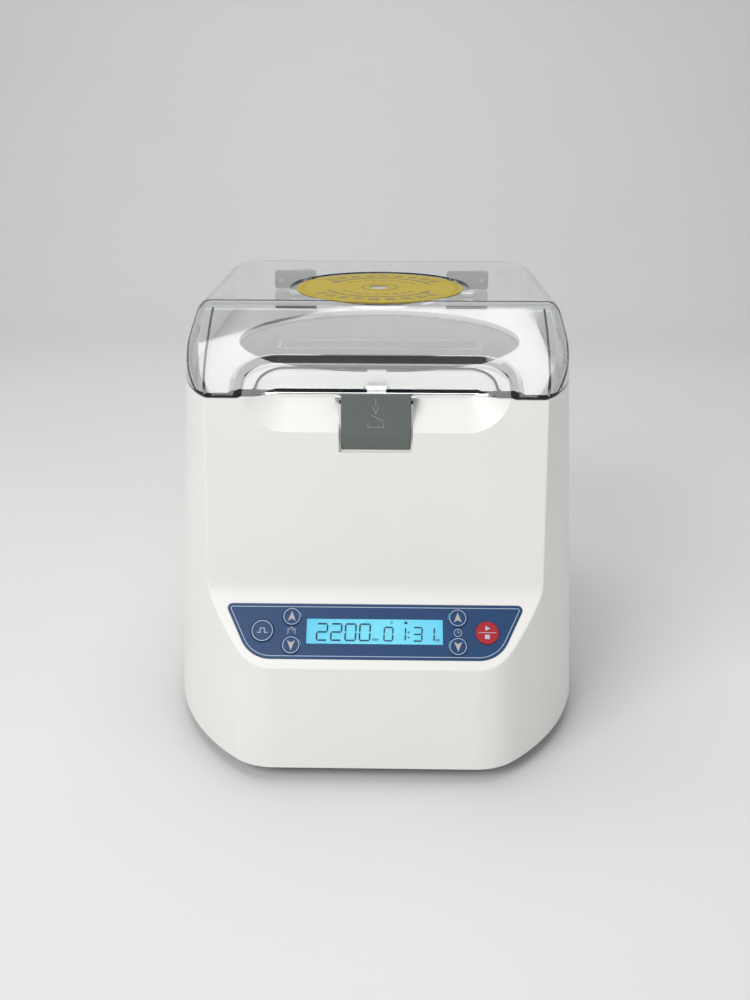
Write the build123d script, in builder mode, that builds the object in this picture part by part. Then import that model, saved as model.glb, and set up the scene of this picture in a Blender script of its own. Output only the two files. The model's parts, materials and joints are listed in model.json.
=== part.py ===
"""Benchtop centrifuge for two microplates: casing, clear hinged lid, latch, rotor and drive.

Millimetres, +Z up. The origin is on the table under the middle of the casing; the front faces -Y.
"""

from build123d import *
from math import atan2, cos, degrees, radians, sin, tan
import os

os.makedirs("parts", exist_ok=True)

# ---- Overall form -------------------------------------------------------------------------
body_width = 240.0
body_depth = 298.0
foot_height = 8.0
rim_height = 200.5
lid_rise = 33.1
draft = 4.1
front_half_flat = 54.3
corner_radius = 31.8
corner_turn = 42.0
rear_corner_radius = 22.0

# ---- Front profile ------------------------------------------------------------------------
ridge_height = 66.4
slope_angle = 47.2
crease_height = 97.5
crease_radius = 14.0
rim_setback = 43.1
ridge_radius = 1.2

# ---- Walls --------------------------------------------------------------------------------
casing_wall = 2.8
deck_thickness = 3.0
lid_wall = 3.0
lid_gap = 0.4

# ---- Lid ----------------------------------------------------------------------------------
fold_setback = 127.4
lid_lip = 1.4
lid_rear_setback = 9.0
lid_edge_radius = 7.0
fold_radius = 30.0
label_radius = 51.1
label_hole_radius = 6.3
label_thickness = 0.4
label_recess_radius = 55.3
label_recess_depth = 1.0

# ---- Finger scoop and the pocket above it in the lid --------------------------------------
scoop_half_width = 68.5
scoop_drop = 17.5
scoop_depth = 9.4
scoop_taper = 60.0
scoop_top = 32.0
scoop_corner_radius = 22.0
pocket_half_width = 72.5
pocket_length = 36.0
pocket_depth = 2.4
pocket_taper = 58.0
pocket_corner_radius = 20.0

# ---- Rotor chamber ------------------------------------------------------------------------
rotor_axis_setback = 179.7
opening_radius = 87.5
bowl_clearance = 1.5
bowl_wall = 2.0
bowl_depth = 112.0
bowl_corner_radius = 14.0
bowl_flange = 9.0
bowl_flange_thickness = 1.5
bowl_screw_count = 6
bowl_screw_grip = 2.2
bowl_hole_radius = 12.0
gasket_height = 1.6

# ---- Rotor --------------------------------------------------------------------------------
plate_length = 127.8
plate_height = 85.5
plate_thickness = 20.0
plate_clearance = 1.6
plate_offset = 24.0
rotor_wall = 2.2
rotor_base = 5.0
rotor_swing_radius = 84.5
rotor_lift = 8.0
hub_radius = 19.0
hub_height = 46.0
nut_radius = 11.0
nut_height = 13.0
window_radius = 5.0

# ---- Motor --------------------------------------------------------------------------------
shaft_radius = 3.0
shaft_fit = 0.05
motor_radius = 27.0
motor_height = 48.0
motor_wall = 2.0
bearing_radius = 8.0
bearing_width = 5.0
armature_radius = 12.0
winding_inner_radius = 13.5
bracket_size = 92.0
bracket_thickness = 3.0
isolator_radius = 7.0
isolator_height = 8.0
post_radius = 6.0
post_pitch = 70.0

# ---- Base ---------------------------------------------------------------------------------
base_thickness = 2.0
base_clearance = 0.4
foot_radius = 10.0
foot_taper = 7.0
screw_radius = 1.5
screw_head_radius = 2.9
screw_head_height = 1.8
boss_radius = 5.0
boss_height = 30.0
boss_bite = 0.3
front_boss_x = 45.0

# ---- Control panel ------------------------------------------------------------------------
panel_top_half = 79.4
panel_bottom_half = 65.0
panel_low = 5.2
panel_high = 34.8
panel_thickness = 0.5
panel_corner_radius = 2.5
panel_bottom_radius = 17.0
display_length = 71.6
display_height = 13.4
display_centre = 20.1
display_margin = 9.0
display_gap = 0.05
module_gap = 0.3
key_small_radius = 4.95
key_large_radius = 6.1
key_gap = 0.2
key_proud = 0.8
key_travel = 0.4
key_stem_radius = 2.0
key_rest_gap = 0.1
key_hole_gap = 0.6
key_edge_radius = 0.45
plunger_radius = 1.6
plunger_height = 0.5
arrow_key_x = 43.7
arrow_key_low = 12.5
arrow_key_high = 27.8
end_key_x = 59.0
end_key_up = 20.0
board_thickness = 1.6
board_setback = 6.2
board_screw_head_radius = 2.4
board_screw_head_height = 1.4
spacer_radius = 2.6
switch_size = 6.0
switch_height = 3.0

# ---- Latch --------------------------------------------------------------------------------
latch_half_width = 17.8
latch_drop = 26.9
latch_crease_drop = 19.1
latch_rise = 2.0
latch_thickness = 3.0
latch_slot_gap = 1.2
latch_slot_lower_gap = 0.8
latch_edge_radius = 0.8
latch_arm_inset = 4.6
latch_arm_width = 3.2
latch_boss_radius = 2.4
latch_pin_radius = 1.3
latch_pin_drop = 1.9
latch_pin_setback = 50.0
latch_pin_fit = 0.06
latch_tip_setback = 2.2
striker_width = 10.0
striker_setback = 58.0
striker_thickness = 3.0
striker_nose = 0.8
striker_gusset = 15.0
catch_drop = 15.5
catch_size = 3.0
catch_clearance = 0.3
spring_pitch = 1.1
spring_turns = 8
spring_radius = 2.0
spring_wire_radius = 0.3
interlock_setback = 14.0
interlock_depth = 6.4
interlock_pitch = 9.5
interlock_hole_radius = 1.2
interlock_bracket_thickness = 1.4

# ---- Hinge --------------------------------------------------------------------------------
hinge_x = 62.0
hinge_width = 30.0
hinge_leaf = 2.0
hinge_barrel_radius = 4.0
hinge_pin_radius = 2.0
hinge_fit = 0.06
hinge_gap = 0.3
hinge_base = 1.2
hinge_leaf_height = 13.0
hinge_screw_head_radius = 2.6
hinge_screw_head_height = 1.4

# ---- Rear services ------------------------------------------------------------------------
service_height = 36.0
service_x = -58.0
service_width = 64.0
service_window = 32.0
service_recess = 1.6
inlet_x = -44.0
inlet_radius = 5.6
inlet_flange_radius = 8.0
inlet_socket_radius = 3.2
inlet_pin_radius = 1.0
rocker_x = -72.0
rocker_width = 12.6
rocker_height = 18.6
rocker_swing = 20.0
rocker_reach = 7.6
rocker_pivot_radius = 1.2
rocker_pivot_gap = 0.06
rocker_side_gap = 0.3
rocker_wall = 1.3
rocker_rim_angle = 73.2
socket_depth = 10.0
inlet_length = 14.0
flange_setback = 0.2
vent_count = 9
vent_pitch = 7.0
vent_width = 3.0
vent_height = 26.0

# ---- Drive board and internal leads --------------------------------------------------------
drive_board_setback = 88.0
drive_board_length = 110.0
drive_board_width = 62.0
drive_board_lift = 8.0
drive_board_screw_inset = 5.0
capacitor_radius = 6.3
capacitor_height = 21.0
lead_radius = 2.2
ribbon_width = 12.0
ribbon_thickness = 0.8

# ---- Values worked out from the sizes above ------------------------------------------------
front_y = -body_depth / 2
rear_y = body_depth / 2
casing_bottom = foot_height
rim_front_y = front_y + rim_setback
axis_y = front_y + rotor_axis_setback
fold_y = front_y + fold_setback
lid_rear_y = rear_y - lid_rear_setback
deck_top = rim_height - lid_gap
lid_top_height = rim_height + lid_rise
deck_bottom = deck_top - deck_thickness
ridge_y = front_y + (ridge_height - casing_bottom) * tan(radians(draft))
crease_y = ridge_y + (crease_height - ridge_height) / tan(radians(slope_angle))
upper_lean = degrees(atan2(rim_front_y - crease_y, rim_height - crease_height))
lid_slope = degrees(atan2(lid_top_height - rim_height - lid_lip, fold_y - rim_front_y))

latch_bottom = rim_height - latch_drop
latch_crease = rim_height - latch_crease_drop
latch_top = rim_height + latch_rise
latch_pin_height = rim_height - latch_pin_drop
catch_height = rim_height - catch_drop

bowl_radius = opening_radius + bowl_clearance
bowl_floor = deck_bottom - bowl_depth
gasket_bottom = deck_bottom - gasket_height
flange_bottom = gasket_bottom - bowl_flange_thickness
flange_radius = bowl_radius + bowl_flange
bowl_screw_circle = flange_radius - screw_head_radius - 0.6
rotor_bottom = bowl_floor + bowl_wall + rotor_lift
rotor_height = rotor_base + plate_height + plate_clearance
bracket_top = bowl_floor - 3.0
motor_top = bracket_top - bracket_thickness
motor_bottom = motor_top - motor_height
base_top = casing_bottom + base_thickness
isolator_bottom = motor_top - isolator_height

# The control panel's own plane: x across, y up the slope, z out of the casing.
panel_plane = Plane(
    origin=(0, ridge_y, ridge_height),
    x_dir=(1, 0, 0),
    z_dir=(0, -sin(radians(slope_angle)), cos(radians(slope_angle))),
)
# The upper front face: x across, y up the face, origin at the rim.
face_plane = Plane(
    origin=(0, rim_front_y, rim_height),
    x_dir=(1, 0, 0),
    z_dir=(0, -cos(radians(upper_lean)), sin(radians(upper_lean))),
)
# The lid's sloping front: x across, y up the slope, origin at its lower edge.
lid_slope_plane = Plane(
    origin=(0, rim_front_y, rim_height + lid_lip),
    x_dir=(1, 0, 0),
    z_dir=(0, -sin(radians(lid_slope)), cos(radians(lid_slope))),
)


def tapered_block(inset, top):
    """The tapered upright form whose plan is the casing's outline, taken in by an inset."""
    side_x = front_half_flat + corner_radius * sin(radians(corner_turn))
    side_radius = (body_width / 2 - side_x) / (1 - sin(radians(corner_turn)))
    side_centre_x = body_width / 2 - side_radius
    side_centre_y = (
        front_y
        + corner_radius * (1 - cos(radians(corner_turn)))
        + side_radius * cos(radians(corner_turn))
    )
    beyond_y = rear_y + rear_corner_radius + (top - casing_bottom) * tan(radians(draft))
    with BuildPart() as block:
        with BuildSketch(Plane.XY.offset(casing_bottom)):
            with BuildLine():
                front = Line((0, front_y + inset), (front_half_flat, front_y + inset))
                CenterArc(
                    (front_half_flat, front_y + corner_radius),
                    corner_radius - inset,
                    -90,
                    corner_turn,
                )
                side = CenterArc(
                    (side_centre_x, side_centre_y),
                    side_radius - inset,
                    -90 + corner_turn,
                    90 - corner_turn,
                )
                flank = Line(side @ 1, (body_width / 2 - inset, beyond_y))
                Line(flank @ 1, (0, beyond_y))
                mirror(about=Plane.YZ)
            make_face()
        extrude(amount=top - casing_bottom, taper=draft)
    return block.part


def casing_form(inset, top_inset):
    """The casing's outer form, or the form of its hollow when given a wall thickness."""
    stock = tapered_block(inset, lid_top_height)
    ahead_y = ridge_y - 16.0
    open_below = casing_bottom - 2 * casing_wall
    with BuildPart() as form:
        add(stock)
        with BuildSketch(Plane.YZ):
            with BuildLine():
                Polyline(
                    (ahead_y, open_below),
                    (ahead_y, ridge_height - 16.0 * tan(radians(slope_angle))),
                    (crease_y, crease_height),
                    (rim_front_y, rim_height),
                    (rim_front_y, rim_height + 20),
                    (rear_y, rim_height + 20),
                    (rear_y, open_below),
                    close=True,
                )
            make_face()
            crease = vertices().sort_by_distance((crease_y, crease_height, 0))[0]
            fillet(crease, crease_radius)
            if inset:
                offset(amount=-inset)
        extrude(amount=body_width, both=True, mode=Mode.INTERSECT)
        with BuildSketch(Plane.XY.offset(deck_top - top_inset)):
            Rectangle(3 * body_width, 3 * body_depth)
        extrude(amount=100, mode=Mode.SUBTRACT)
        corners = form.edges().filter_by(
            lambda e: e.center().Y > rear_y - inset - 0.5 and e.bounding_box().size.Z > 60
        )
        fillet(corners, rear_corner_radius - inset)
    return form.part


def scoop_form(grow):
    """The finger scoop's tool, a dished recess open at the rim, grown by a wall thickness."""
    with BuildPart() as form:
        with BuildSketch(face_plane) as mouth:
            with Locations((0, (scoop_top - scoop_drop) / 2)):
                Rectangle(2 * scoop_half_width, scoop_top + scoop_drop)
            fillet(mouth.vertices().group_by(Axis.Z)[0], scoop_corner_radius)
            if grow:
                offset(amount=grow)
        extrude(mouth.sketch, amount=-(scoop_depth + grow), taper=scoop_taper)
        extrude(mouth.sketch, amount=10)
    return form.part


def pocket_form(grow):
    """The shallow arched pocket's tool in the lid's slope, grown by a wall thickness."""
    with BuildPart() as form:
        with BuildSketch(lid_slope_plane.offset(-grow)) as mouth:
            Rectangle(2 * pocket_half_width, 2 * pocket_length)
            fillet(mouth.vertices().group_by(Axis.Z)[-1], pocket_corner_radius)
            if grow:
                offset(amount=grow)
        extrude(mouth.sketch, amount=-pocket_depth, taper=pocket_taper)
        extrude(mouth.sketch, amount=10)
    return form.part


def lid_form(inset):
    """The lid's outer form, or the form of its hollow when given a wall thickness."""
    stock = tapered_block(inset, lid_top_height + 20)
    below = rim_height - 20
    with BuildPart() as form:
        add(stock)
        with BuildSketch(Plane.YZ):
            with BuildLine():
                Polyline(
                    (rim_front_y, below),
                    (rim_front_y, rim_height + lid_lip),
                    (fold_y, lid_top_height),
                    (lid_rear_y, lid_top_height),
                    (lid_rear_y, below),
                    close=True,
                )
            make_face()
            fold = vertices().sort_by_distance((fold_y, lid_top_height, 0))[0]
            fillet(fold, fold_radius)
            if inset:
                offset(amount=-inset)
        extrude(amount=body_width, both=True, mode=Mode.INTERSECT)
        uprights = form.edges().filter_by(
            lambda e: e.center().Y > lid_rear_y - inset - 0.5 and e.bounding_box().size.Z > 20
        )
        fillet(uprights, rear_corner_radius - inset)
        crown = form.edges().filter_by(
            lambda e: e.center().Z > rim_height + 5
            and e.bounding_box().size.Z < lid_top_height - rim_height - inset
            and (abs(e.center().X) > 20 or e.center().Y > lid_rear_y - inset - 0.5)
        )
        fillet(crown, lid_edge_radius - inset)
    return form.part


def screws(plane, places, length, head_radius, head_height, into=-1):
    """Pan-head screws with a cross recess, one solid each, driven along a plane's normal."""
    with BuildPart() as group:
        with BuildSketch(plane):
            with Locations(*places):
                Circle(head_radius)
        extrude(amount=-into * head_height)
        with BuildSketch(plane.offset(-into * head_height)):
            with Locations(*places):
                Rectangle(head_radius * 1.2, head_radius * 0.25)
                Rectangle(head_radius * 0.25, head_radius * 1.2)
        extrude(amount=into * head_height * 0.5, mode=Mode.SUBTRACT)
        with BuildSketch(plane):
            with Locations(*places):
                Circle(screw_radius)
        extrude(amount=into * length)
    return group.part


# ---- Casing -------------------------------------------------------------------------------
casing_outer = casing_form(0.0, 0.0)
casing_hollow = casing_form(casing_wall, deck_thickness)
scoop = scoop_form(0.0)
scoop_hollow_limit = scoop_form(casing_wall)
side_boss_y = (axis_y + 70, axis_y - 45)
side_boss_x = body_width / 2 - casing_wall - boss_radius
front_boss_y = front_y + casing_wall + boss_radius - 0.8
rear_boss_reach = rear_corner_radius - casing_wall - boss_radius + boss_bite
rear_boss_inset = rear_corner_radius - rear_boss_reach * sin(radians(45))
boss_places = [(side * side_boss_x, y) for side in (-1, 1) for y in side_boss_y]
boss_places += [(side * front_boss_x, front_boss_y) for side in (-1, 1)]
boss_places += [
    (side * (body_width / 2 - rear_boss_inset), rear_y - rear_boss_inset) for side in (-1, 1)
]

key_places = {
    "short_key": (-end_key_x, end_key_up, key_large_radius),
    "start_stop_key": (end_key_x, end_key_up, key_large_radius),
    "speed_up_key": (-arrow_key_x, arrow_key_high, key_small_radius),
    "speed_down_key": (-arrow_key_x, arrow_key_low, key_small_radius),
    "timer_up_key": (arrow_key_x, arrow_key_high, key_small_radius),
    "timer_down_key": (arrow_key_x, arrow_key_low, key_small_radius),
}
latch_slot_half = latch_half_width + latch_slot_gap
latch_slot_back_y = front_y + latch_pin_setback + 4.5
catch_slot_y = (front_y + striker_setback - 2.5, front_y + striker_setback + 6.5)
catch_slot_half = striker_width / 2 + 2.0
latch_pin_y = front_y + latch_pin_setback
panel_recess = panel_thickness - 0.1
rear_plane = Plane(origin=(0, rear_y, 0), x_dir=(-1, 0, 0), z_dir=(0, 1, 0))


def panel_outline(grow):
    """The control overlay's outline, grown all round."""
    with BuildSketch() as outline:
        with BuildLine():
            Polyline(
                (-panel_top_half, panel_high),
                (-panel_bottom_half, panel_low),
                (panel_bottom_half, panel_low),
                (panel_top_half, panel_high),
                close=True,
            )
        make_face()
        fillet(outline.vertices().group_by(Axis.Y)[-1], panel_corner_radius)
        fillet(outline.vertices().group_by(Axis.Y)[0], panel_bottom_radius)
        if grow:
            offset(amount=grow)
    return outline.sketch


overlay_outline = panel_outline(0.0)
overlay_recess_outline = panel_outline(0.25)


with BuildPart() as casing:
    add(casing_outer)
    ridge = [
        edge
        for face in casing.faces()
        if abs(face.normal_at().X) < 0.001 and face.normal_at().Y < 0 and face.normal_at().Z > 0.08
        for edge in face.edges()
        if (edge.center().Z < deck_top - 1 and abs(edge.center().Y - crease_y) > 12)
        or edge.length < 30
    ]
    ridge = [e for e in ridge if e.bounding_box().size.X < 60 or e.center().Z < ridge_height + 1]
    fillet(ridge, ridge_radius)
    add(scoop, mode=Mode.SUBTRACT)
    add(casing_hollow - scoop_hollow_limit, mode=Mode.SUBTRACT)
    with BuildSketch(Plane.XY.offset(deck_bottom)):
        with Locations((0, axis_y)):
            Circle(opening_radius)
    extrude(amount=2 * deck_thickness, mode=Mode.SUBTRACT)
    with BuildSketch(Plane.XY.offset(base_top)):
        with Locations(*boss_places):
            Circle(boss_radius)
    extrude(amount=boss_height)
    with BuildSketch(Plane.XY.offset(base_top)):
        with Locations(*boss_places):
            Circle(screw_radius)
    extrude(amount=12, mode=Mode.SUBTRACT)
    with BuildSketch(panel_plane.offset(-panel_recess)):
        add(overlay_recess_outline)
    extrude(amount=3, mode=Mode.SUBTRACT)
    with BuildSketch(panel_plane.offset(-casing_wall - 1)):
        for x, up, radius in key_places.values():
            with Locations((x, up)):
                Circle(radius + key_hole_gap)
        with Locations((0, display_centre)):
            Rectangle(display_length + 2, display_height + 2)
    extrude(amount=casing_wall + 2, mode=Mode.SUBTRACT)
    with BuildSketch(Plane.XZ.offset(-latch_slot_back_y)):
        with Locations((0, (latch_bottom - latch_slot_lower_gap + deck_top + 5) / 2)):
            Rectangle(2 * latch_slot_half, deck_top + 5 - latch_bottom + latch_slot_lower_gap)
    extrude(amount=30, mode=Mode.SUBTRACT)
    with BuildSketch(Plane.XY.offset(deck_bottom - 1)):
        with Locations((0, sum(catch_slot_y) / 2)):
            Rectangle(2 * catch_slot_half, catch_slot_y[1] - catch_slot_y[0])
    extrude(amount=deck_thickness + 2, mode=Mode.SUBTRACT)
    with BuildSketch(Plane.XY.offset(deck_bottom)):
        with Locations((0, axis_y)):
            with PolarLocations(bowl_screw_circle, bowl_screw_count, start_angle=30):
                Circle(screw_radius)
    extrude(amount=bowl_screw_grip, mode=Mode.SUBTRACT)
    with BuildSketch(rear_plane.offset(-service_recess)):
        with Locations((-service_x, service_height)):
            RectangleRounded(service_width, service_window, 3)
    extrude(amount=5, mode=Mode.SUBTRACT)
    with BuildSketch(rear_plane.offset(-casing_wall - 1)):
        with Locations((-inlet_x, service_height)):
            Circle(inlet_radius)
        with Locations((-rocker_x, service_height)):
            Rectangle(rocker_width, rocker_height)
        with Locations((0, service_height + 6)):
            with GridLocations(vent_pitch, 1, vent_count, 1):
                SlotOverall(vent_height, vent_width, rotation=90)
    extrude(amount=casing_wall + 2, mode=Mode.SUBTRACT)
    with BuildSketch(Plane.YZ.offset(latch_slot_half - 1)):
        with Locations((latch_pin_y, latch_pin_height)):
            Circle(latch_pin_radius)
    extrude(amount=4, mode=Mode.SUBTRACT)
    with BuildSketch(Plane.YZ.offset(-latch_slot_half + 1)):
        with Locations((latch_pin_y, latch_pin_height)):
            Circle(latch_pin_radius)
    extrude(amount=-4, mode=Mode.SUBTRACT)
casing.part.label = "casing"
export_step(casing.part, "parts/casing.step")

# ---- Chamber bowl and its seal -------------------------------------------------------------

with BuildPart() as bowl_hollow:
    with BuildSketch(Plane.XY.offset(bowl_floor + bowl_wall)):
        with Locations((0, axis_y)):
            Circle(bowl_radius)
    extrude(amount=bowl_depth)
    fillet(bowl_hollow.edges().group_by(Axis.Z)[0], bowl_corner_radius)

with BuildPart() as chamber_bowl:
    with BuildSketch(Plane.XY.offset(bowl_floor)):
        with Locations((0, axis_y)):
            Circle(bowl_radius + bowl_wall)
    extrude(amount=gasket_bottom - bowl_floor)
    fillet(chamber_bowl.edges().group_by(Axis.Z)[0], bowl_corner_radius + bowl_wall)
    with BuildSketch(Plane.XY.offset(flange_bottom)):
        with Locations((0, axis_y)):
            Circle(flange_radius)
    extrude(amount=bowl_flange_thickness)
    add(bowl_hollow.part, mode=Mode.SUBTRACT)
    with BuildSketch(Plane.XY.offset(bowl_floor - 1)):
        with Locations((0, axis_y)):
            Circle(bowl_hole_radius)
    extrude(amount=bowl_wall + 2, mode=Mode.SUBTRACT)
    with BuildSketch(Plane.XY.offset(flange_bottom - 1)):
        with Locations((0, axis_y)):
            with PolarLocations(bowl_screw_circle, bowl_screw_count, start_angle=30):
                Circle(screw_radius)
    extrude(amount=bowl_flange_thickness + 2, mode=Mode.SUBTRACT)
chamber_bowl.part.label = "chamber_bowl"
export_step(chamber_bowl.part, "parts/chamber_bowl.step")

with BuildPart() as chamber_gasket:
    with BuildSketch(Plane.XY.offset(gasket_bottom)):
        with Locations((0, axis_y)):
            Circle(flange_radius)
            Circle(opening_radius + 0.4, mode=Mode.SUBTRACT)
            with PolarLocations(bowl_screw_circle, bowl_screw_count, start_angle=30):
                Circle(screw_radius, mode=Mode.SUBTRACT)
    extrude(amount=gasket_height)
chamber_gasket.part.label = "chamber_gasket"
export_step(chamber_gasket.part, "parts/chamber_gasket.step")

bowl_screw_places = [
    (
        bowl_screw_circle * cos(radians(30 + 360 / bowl_screw_count * i)),
        axis_y + bowl_screw_circle * sin(radians(30 + 360 / bowl_screw_count * i)),
    )
    for i in range(bowl_screw_count)
]
bowl_screw_length = bowl_flange_thickness + gasket_height + bowl_screw_grip
bowl_screws = screws(
    Plane.XY.offset(flange_bottom), bowl_screw_places, bowl_screw_length, screw_head_radius,
    screw_head_height, into=1
)
bowl_screws.label = "bowl_screws"
export_step(bowl_screws, "parts/bowl_screws.step")

# ---- Base plate, feet and their screws -----------------------------------------------------
base_inset = casing_wall + base_clearance
base_stock = tapered_block(base_inset, base_top)
foot_places = [(side * 70.0, front_y + 52.0) for side in (-1, 1)]
foot_places += [(side * 88.0, rear_y - 42.0) for side in (-1, 1)]
post_places = [
    (post_pitch / 2 * i, axis_y + post_pitch / 2 * j) for i in (-1, 1) for j in (-1, 1)
]

with BuildPart() as base_plate:
    add(base_stock)
    with BuildSketch(Plane.XY.offset(casing_bottom)):
        with Locations((0, rear_y - base_inset + 100)):
            Rectangle(2 * body_width, 200)
    extrude(amount=2 * base_thickness, mode=Mode.SUBTRACT)
    rear_corners = base_plate.edges().filter_by(
        lambda e: e.center().Y > rear_y - base_inset - 0.5 and e.bounding_box().size.X < 5
    )
    fillet(rear_corners, rear_corner_radius - base_inset)
    with BuildSketch(Plane.XY.offset(casing_bottom - 1)):
        with Locations(*boss_places, *foot_places, *post_places):
            Circle(screw_radius)
        with Locations((0, front_y + 110)):
            with GridLocations(9, 1, 8, 1):
                SlotOverall(30, 3, rotation=90)
    extrude(amount=base_thickness + 2, mode=Mode.SUBTRACT)
base_plate.part.label = "base_plate"
export_step(base_plate.part, "parts/base_plate.step")

base_screws = screws(
    Plane.XY.offset(casing_bottom), boss_places, base_thickness + 10, screw_head_radius,
    screw_head_height, into=1
)
base_screws.label = "base_screws"
export_step(base_screws, "parts/base_screws.step")

with BuildPart() as rubber_feet:
    with BuildSketch(Plane.XY.offset(foot_height)):
        with Locations(*foot_places):
            Circle(foot_radius)
    extrude(amount=-foot_height, taper=foot_taper)
    with BuildSketch(Plane.XY):
        with Locations(*foot_places):
            Circle(screw_head_radius + 0.5)
    extrude(amount=foot_height - 3, mode=Mode.SUBTRACT)
    with BuildSketch(Plane.XY):
        with Locations(*foot_places):
            Circle(screw_radius)
    extrude(amount=foot_height, mode=Mode.SUBTRACT)
rubber_feet.part.label = "rubber_feet"
export_step(rubber_feet.part, "parts/rubber_feet.step")

foot_screws = screws(
    Plane.XY.offset(foot_height - 3), foot_places, 3 + base_thickness + 4, screw_head_radius,
    screw_head_height, into=1
)
foot_screws.label = "foot_screws"
export_step(foot_screws, "parts/foot_screws.step")

with BuildPart() as foot_nuts:
    with BuildSketch(Plane.XY.offset(base_top)):
        with Locations(*foot_places):
            RegularPolygon(screw_radius * 1.9, 6)
            Circle(screw_radius, mode=Mode.SUBTRACT)
    extrude(amount=2.4)
foot_nuts.part.label = "foot_nuts"
export_step(foot_nuts.part, "parts/foot_nuts.step")

# ---- Motor, its bracket and mounts ---------------------------------------------------------
cap_thickness = bearing_width + 1.0
hub_top = rotor_bottom + rotor_base + hub_height
shaft_top = hub_top + nut_height - 4.0
motor_axis = (0, axis_y)

with BuildPart() as motor_can:
    with BuildSketch(Plane.XY.offset(motor_bottom)):
        with Locations(motor_axis):
            Circle(motor_radius)
            Circle(bearing_radius, mode=Mode.SUBTRACT)
    extrude(amount=motor_height)
    with BuildSketch(Plane.XY.offset(motor_bottom + cap_thickness)):
        with Locations(motor_axis):
            Circle(motor_radius - motor_wall)
    extrude(amount=motor_height - 2 * cap_thickness, mode=Mode.SUBTRACT)
    with BuildSketch(Plane.XY.offset(motor_top)):
        with Locations(motor_axis):
            with PolarLocations(motor_radius * 0.65, 4, start_angle=45):
                Circle(screw_radius)
    extrude(amount=-cap_thickness, mode=Mode.SUBTRACT)
motor_can.part.label = "motor_can"
export_step(motor_can.part, "parts/motor_can.step")

with BuildPart() as motor_windings:
    with BuildSketch(Plane.XY.offset(motor_bottom + cap_thickness + 3)):
        with Locations(motor_axis):
            Circle(motor_radius - motor_wall)
            Circle(winding_inner_radius, mode=Mode.SUBTRACT)
            with PolarLocations(winding_inner_radius + 4.5, 9):
                SlotOverall(7.6, 2.4, mode=Mode.SUBTRACT)
    extrude(amount=motor_height - 2 * cap_thickness - 6)
motor_windings.part.label = "motor_windings"
export_step(motor_windings.part, "parts/motor_windings.step")

with BuildPart() as motor_bearings:
    with BuildSketch(Plane.XY.offset(motor_bottom), Plane.XY.offset(motor_top - bearing_width)):
        with Locations(motor_axis):
            Circle(bearing_radius)
            Circle(shaft_radius + shaft_fit, mode=Mode.SUBTRACT)
    extrude(amount=bearing_width)
motor_bearings.part.label = "motor_bearings"
export_step(motor_bearings.part, "parts/motor_bearings.step")

with BuildPart() as motor_bracket:
    with BuildSketch(Plane.XY.offset(motor_top)):
        with Locations(motor_axis):
            RectangleRounded(bracket_size, bracket_size, 8)
            Circle(bearing_radius + 1, mode=Mode.SUBTRACT)
            with GridLocations(post_pitch, post_pitch, 2, 2):
                Circle(screw_radius, mode=Mode.SUBTRACT)
            with PolarLocations(motor_radius * 0.65, 4, start_angle=45):
                Circle(screw_radius, mode=Mode.SUBTRACT)
    extrude(amount=bracket_thickness)
motor_bracket.part.label = "motor_bracket"
export_step(motor_bracket.part, "parts/motor_bracket.step")

with BuildPart() as vibration_mounts:
    with BuildSketch(Plane.XY.offset(isolator_bottom)):
        with Locations(*post_places):
            Circle(isolator_radius)
            Circle(screw_radius, mode=Mode.SUBTRACT)
    extrude(amount=isolator_height)
vibration_mounts.part.label = "vibration_mounts"
export_step(vibration_mounts.part, "parts/vibration_mounts.step")

with BuildPart() as motor_posts:
    with BuildSketch(Plane.XY.offset(base_top)):
        with Locations(*post_places):
            Circle(post_radius)
            Circle(screw_radius, mode=Mode.SUBTRACT)
    extrude(amount=isolator_bottom - base_top)
motor_posts.part.label = "motor_posts"
export_step(motor_posts.part, "parts/motor_posts.step")

post_screws = screws(
    Plane.XY.offset(casing_bottom), post_places, base_thickness + 12, screw_head_radius,
    screw_head_height, into=1
)
post_screws.label = "post_screws"
export_step(post_screws, "parts/post_screws.step")

bracket_screws = screws(
    Plane.XY.offset(motor_top + bracket_thickness), post_places,
    bracket_thickness + isolator_height + 10, screw_head_radius, screw_head_height
)
bracket_screws.label = "bracket_screws"
export_step(bracket_screws, "parts/bracket_screws.step")

motor_screw_places = [
    (
        motor_radius * 0.65 * cos(radians(45 + 90 * i)),
        axis_y + motor_radius * 0.65 * sin(radians(45 + 90 * i)),
    )
    for i in range(4)
]
motor_screws = screws(
    Plane.XY.offset(motor_top + bracket_thickness), motor_screw_places,
    bracket_thickness + cap_thickness - 0.5, screw_head_radius, screw_head_height
)
motor_screws.label = "motor_screws"
export_step(motor_screws, "parts/motor_screws.step")

# ---- Rotor, its nut, shaft and armature ----------------------------------------------------
slot_length = plate_length + 2 * plate_clearance
slot_width = plate_thickness + 2 * plate_clearance
slot_centre = plate_offset + rotor_wall + slot_width / 2
pocket_outer_width = slot_width + 2 * rotor_wall

with BuildPart() as rotor_limit:
    with BuildSketch(Plane.XY.offset(rotor_bottom)):
        with Locations(motor_axis):
            Circle(rotor_swing_radius)
    extrude(amount=rotor_height)

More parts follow.
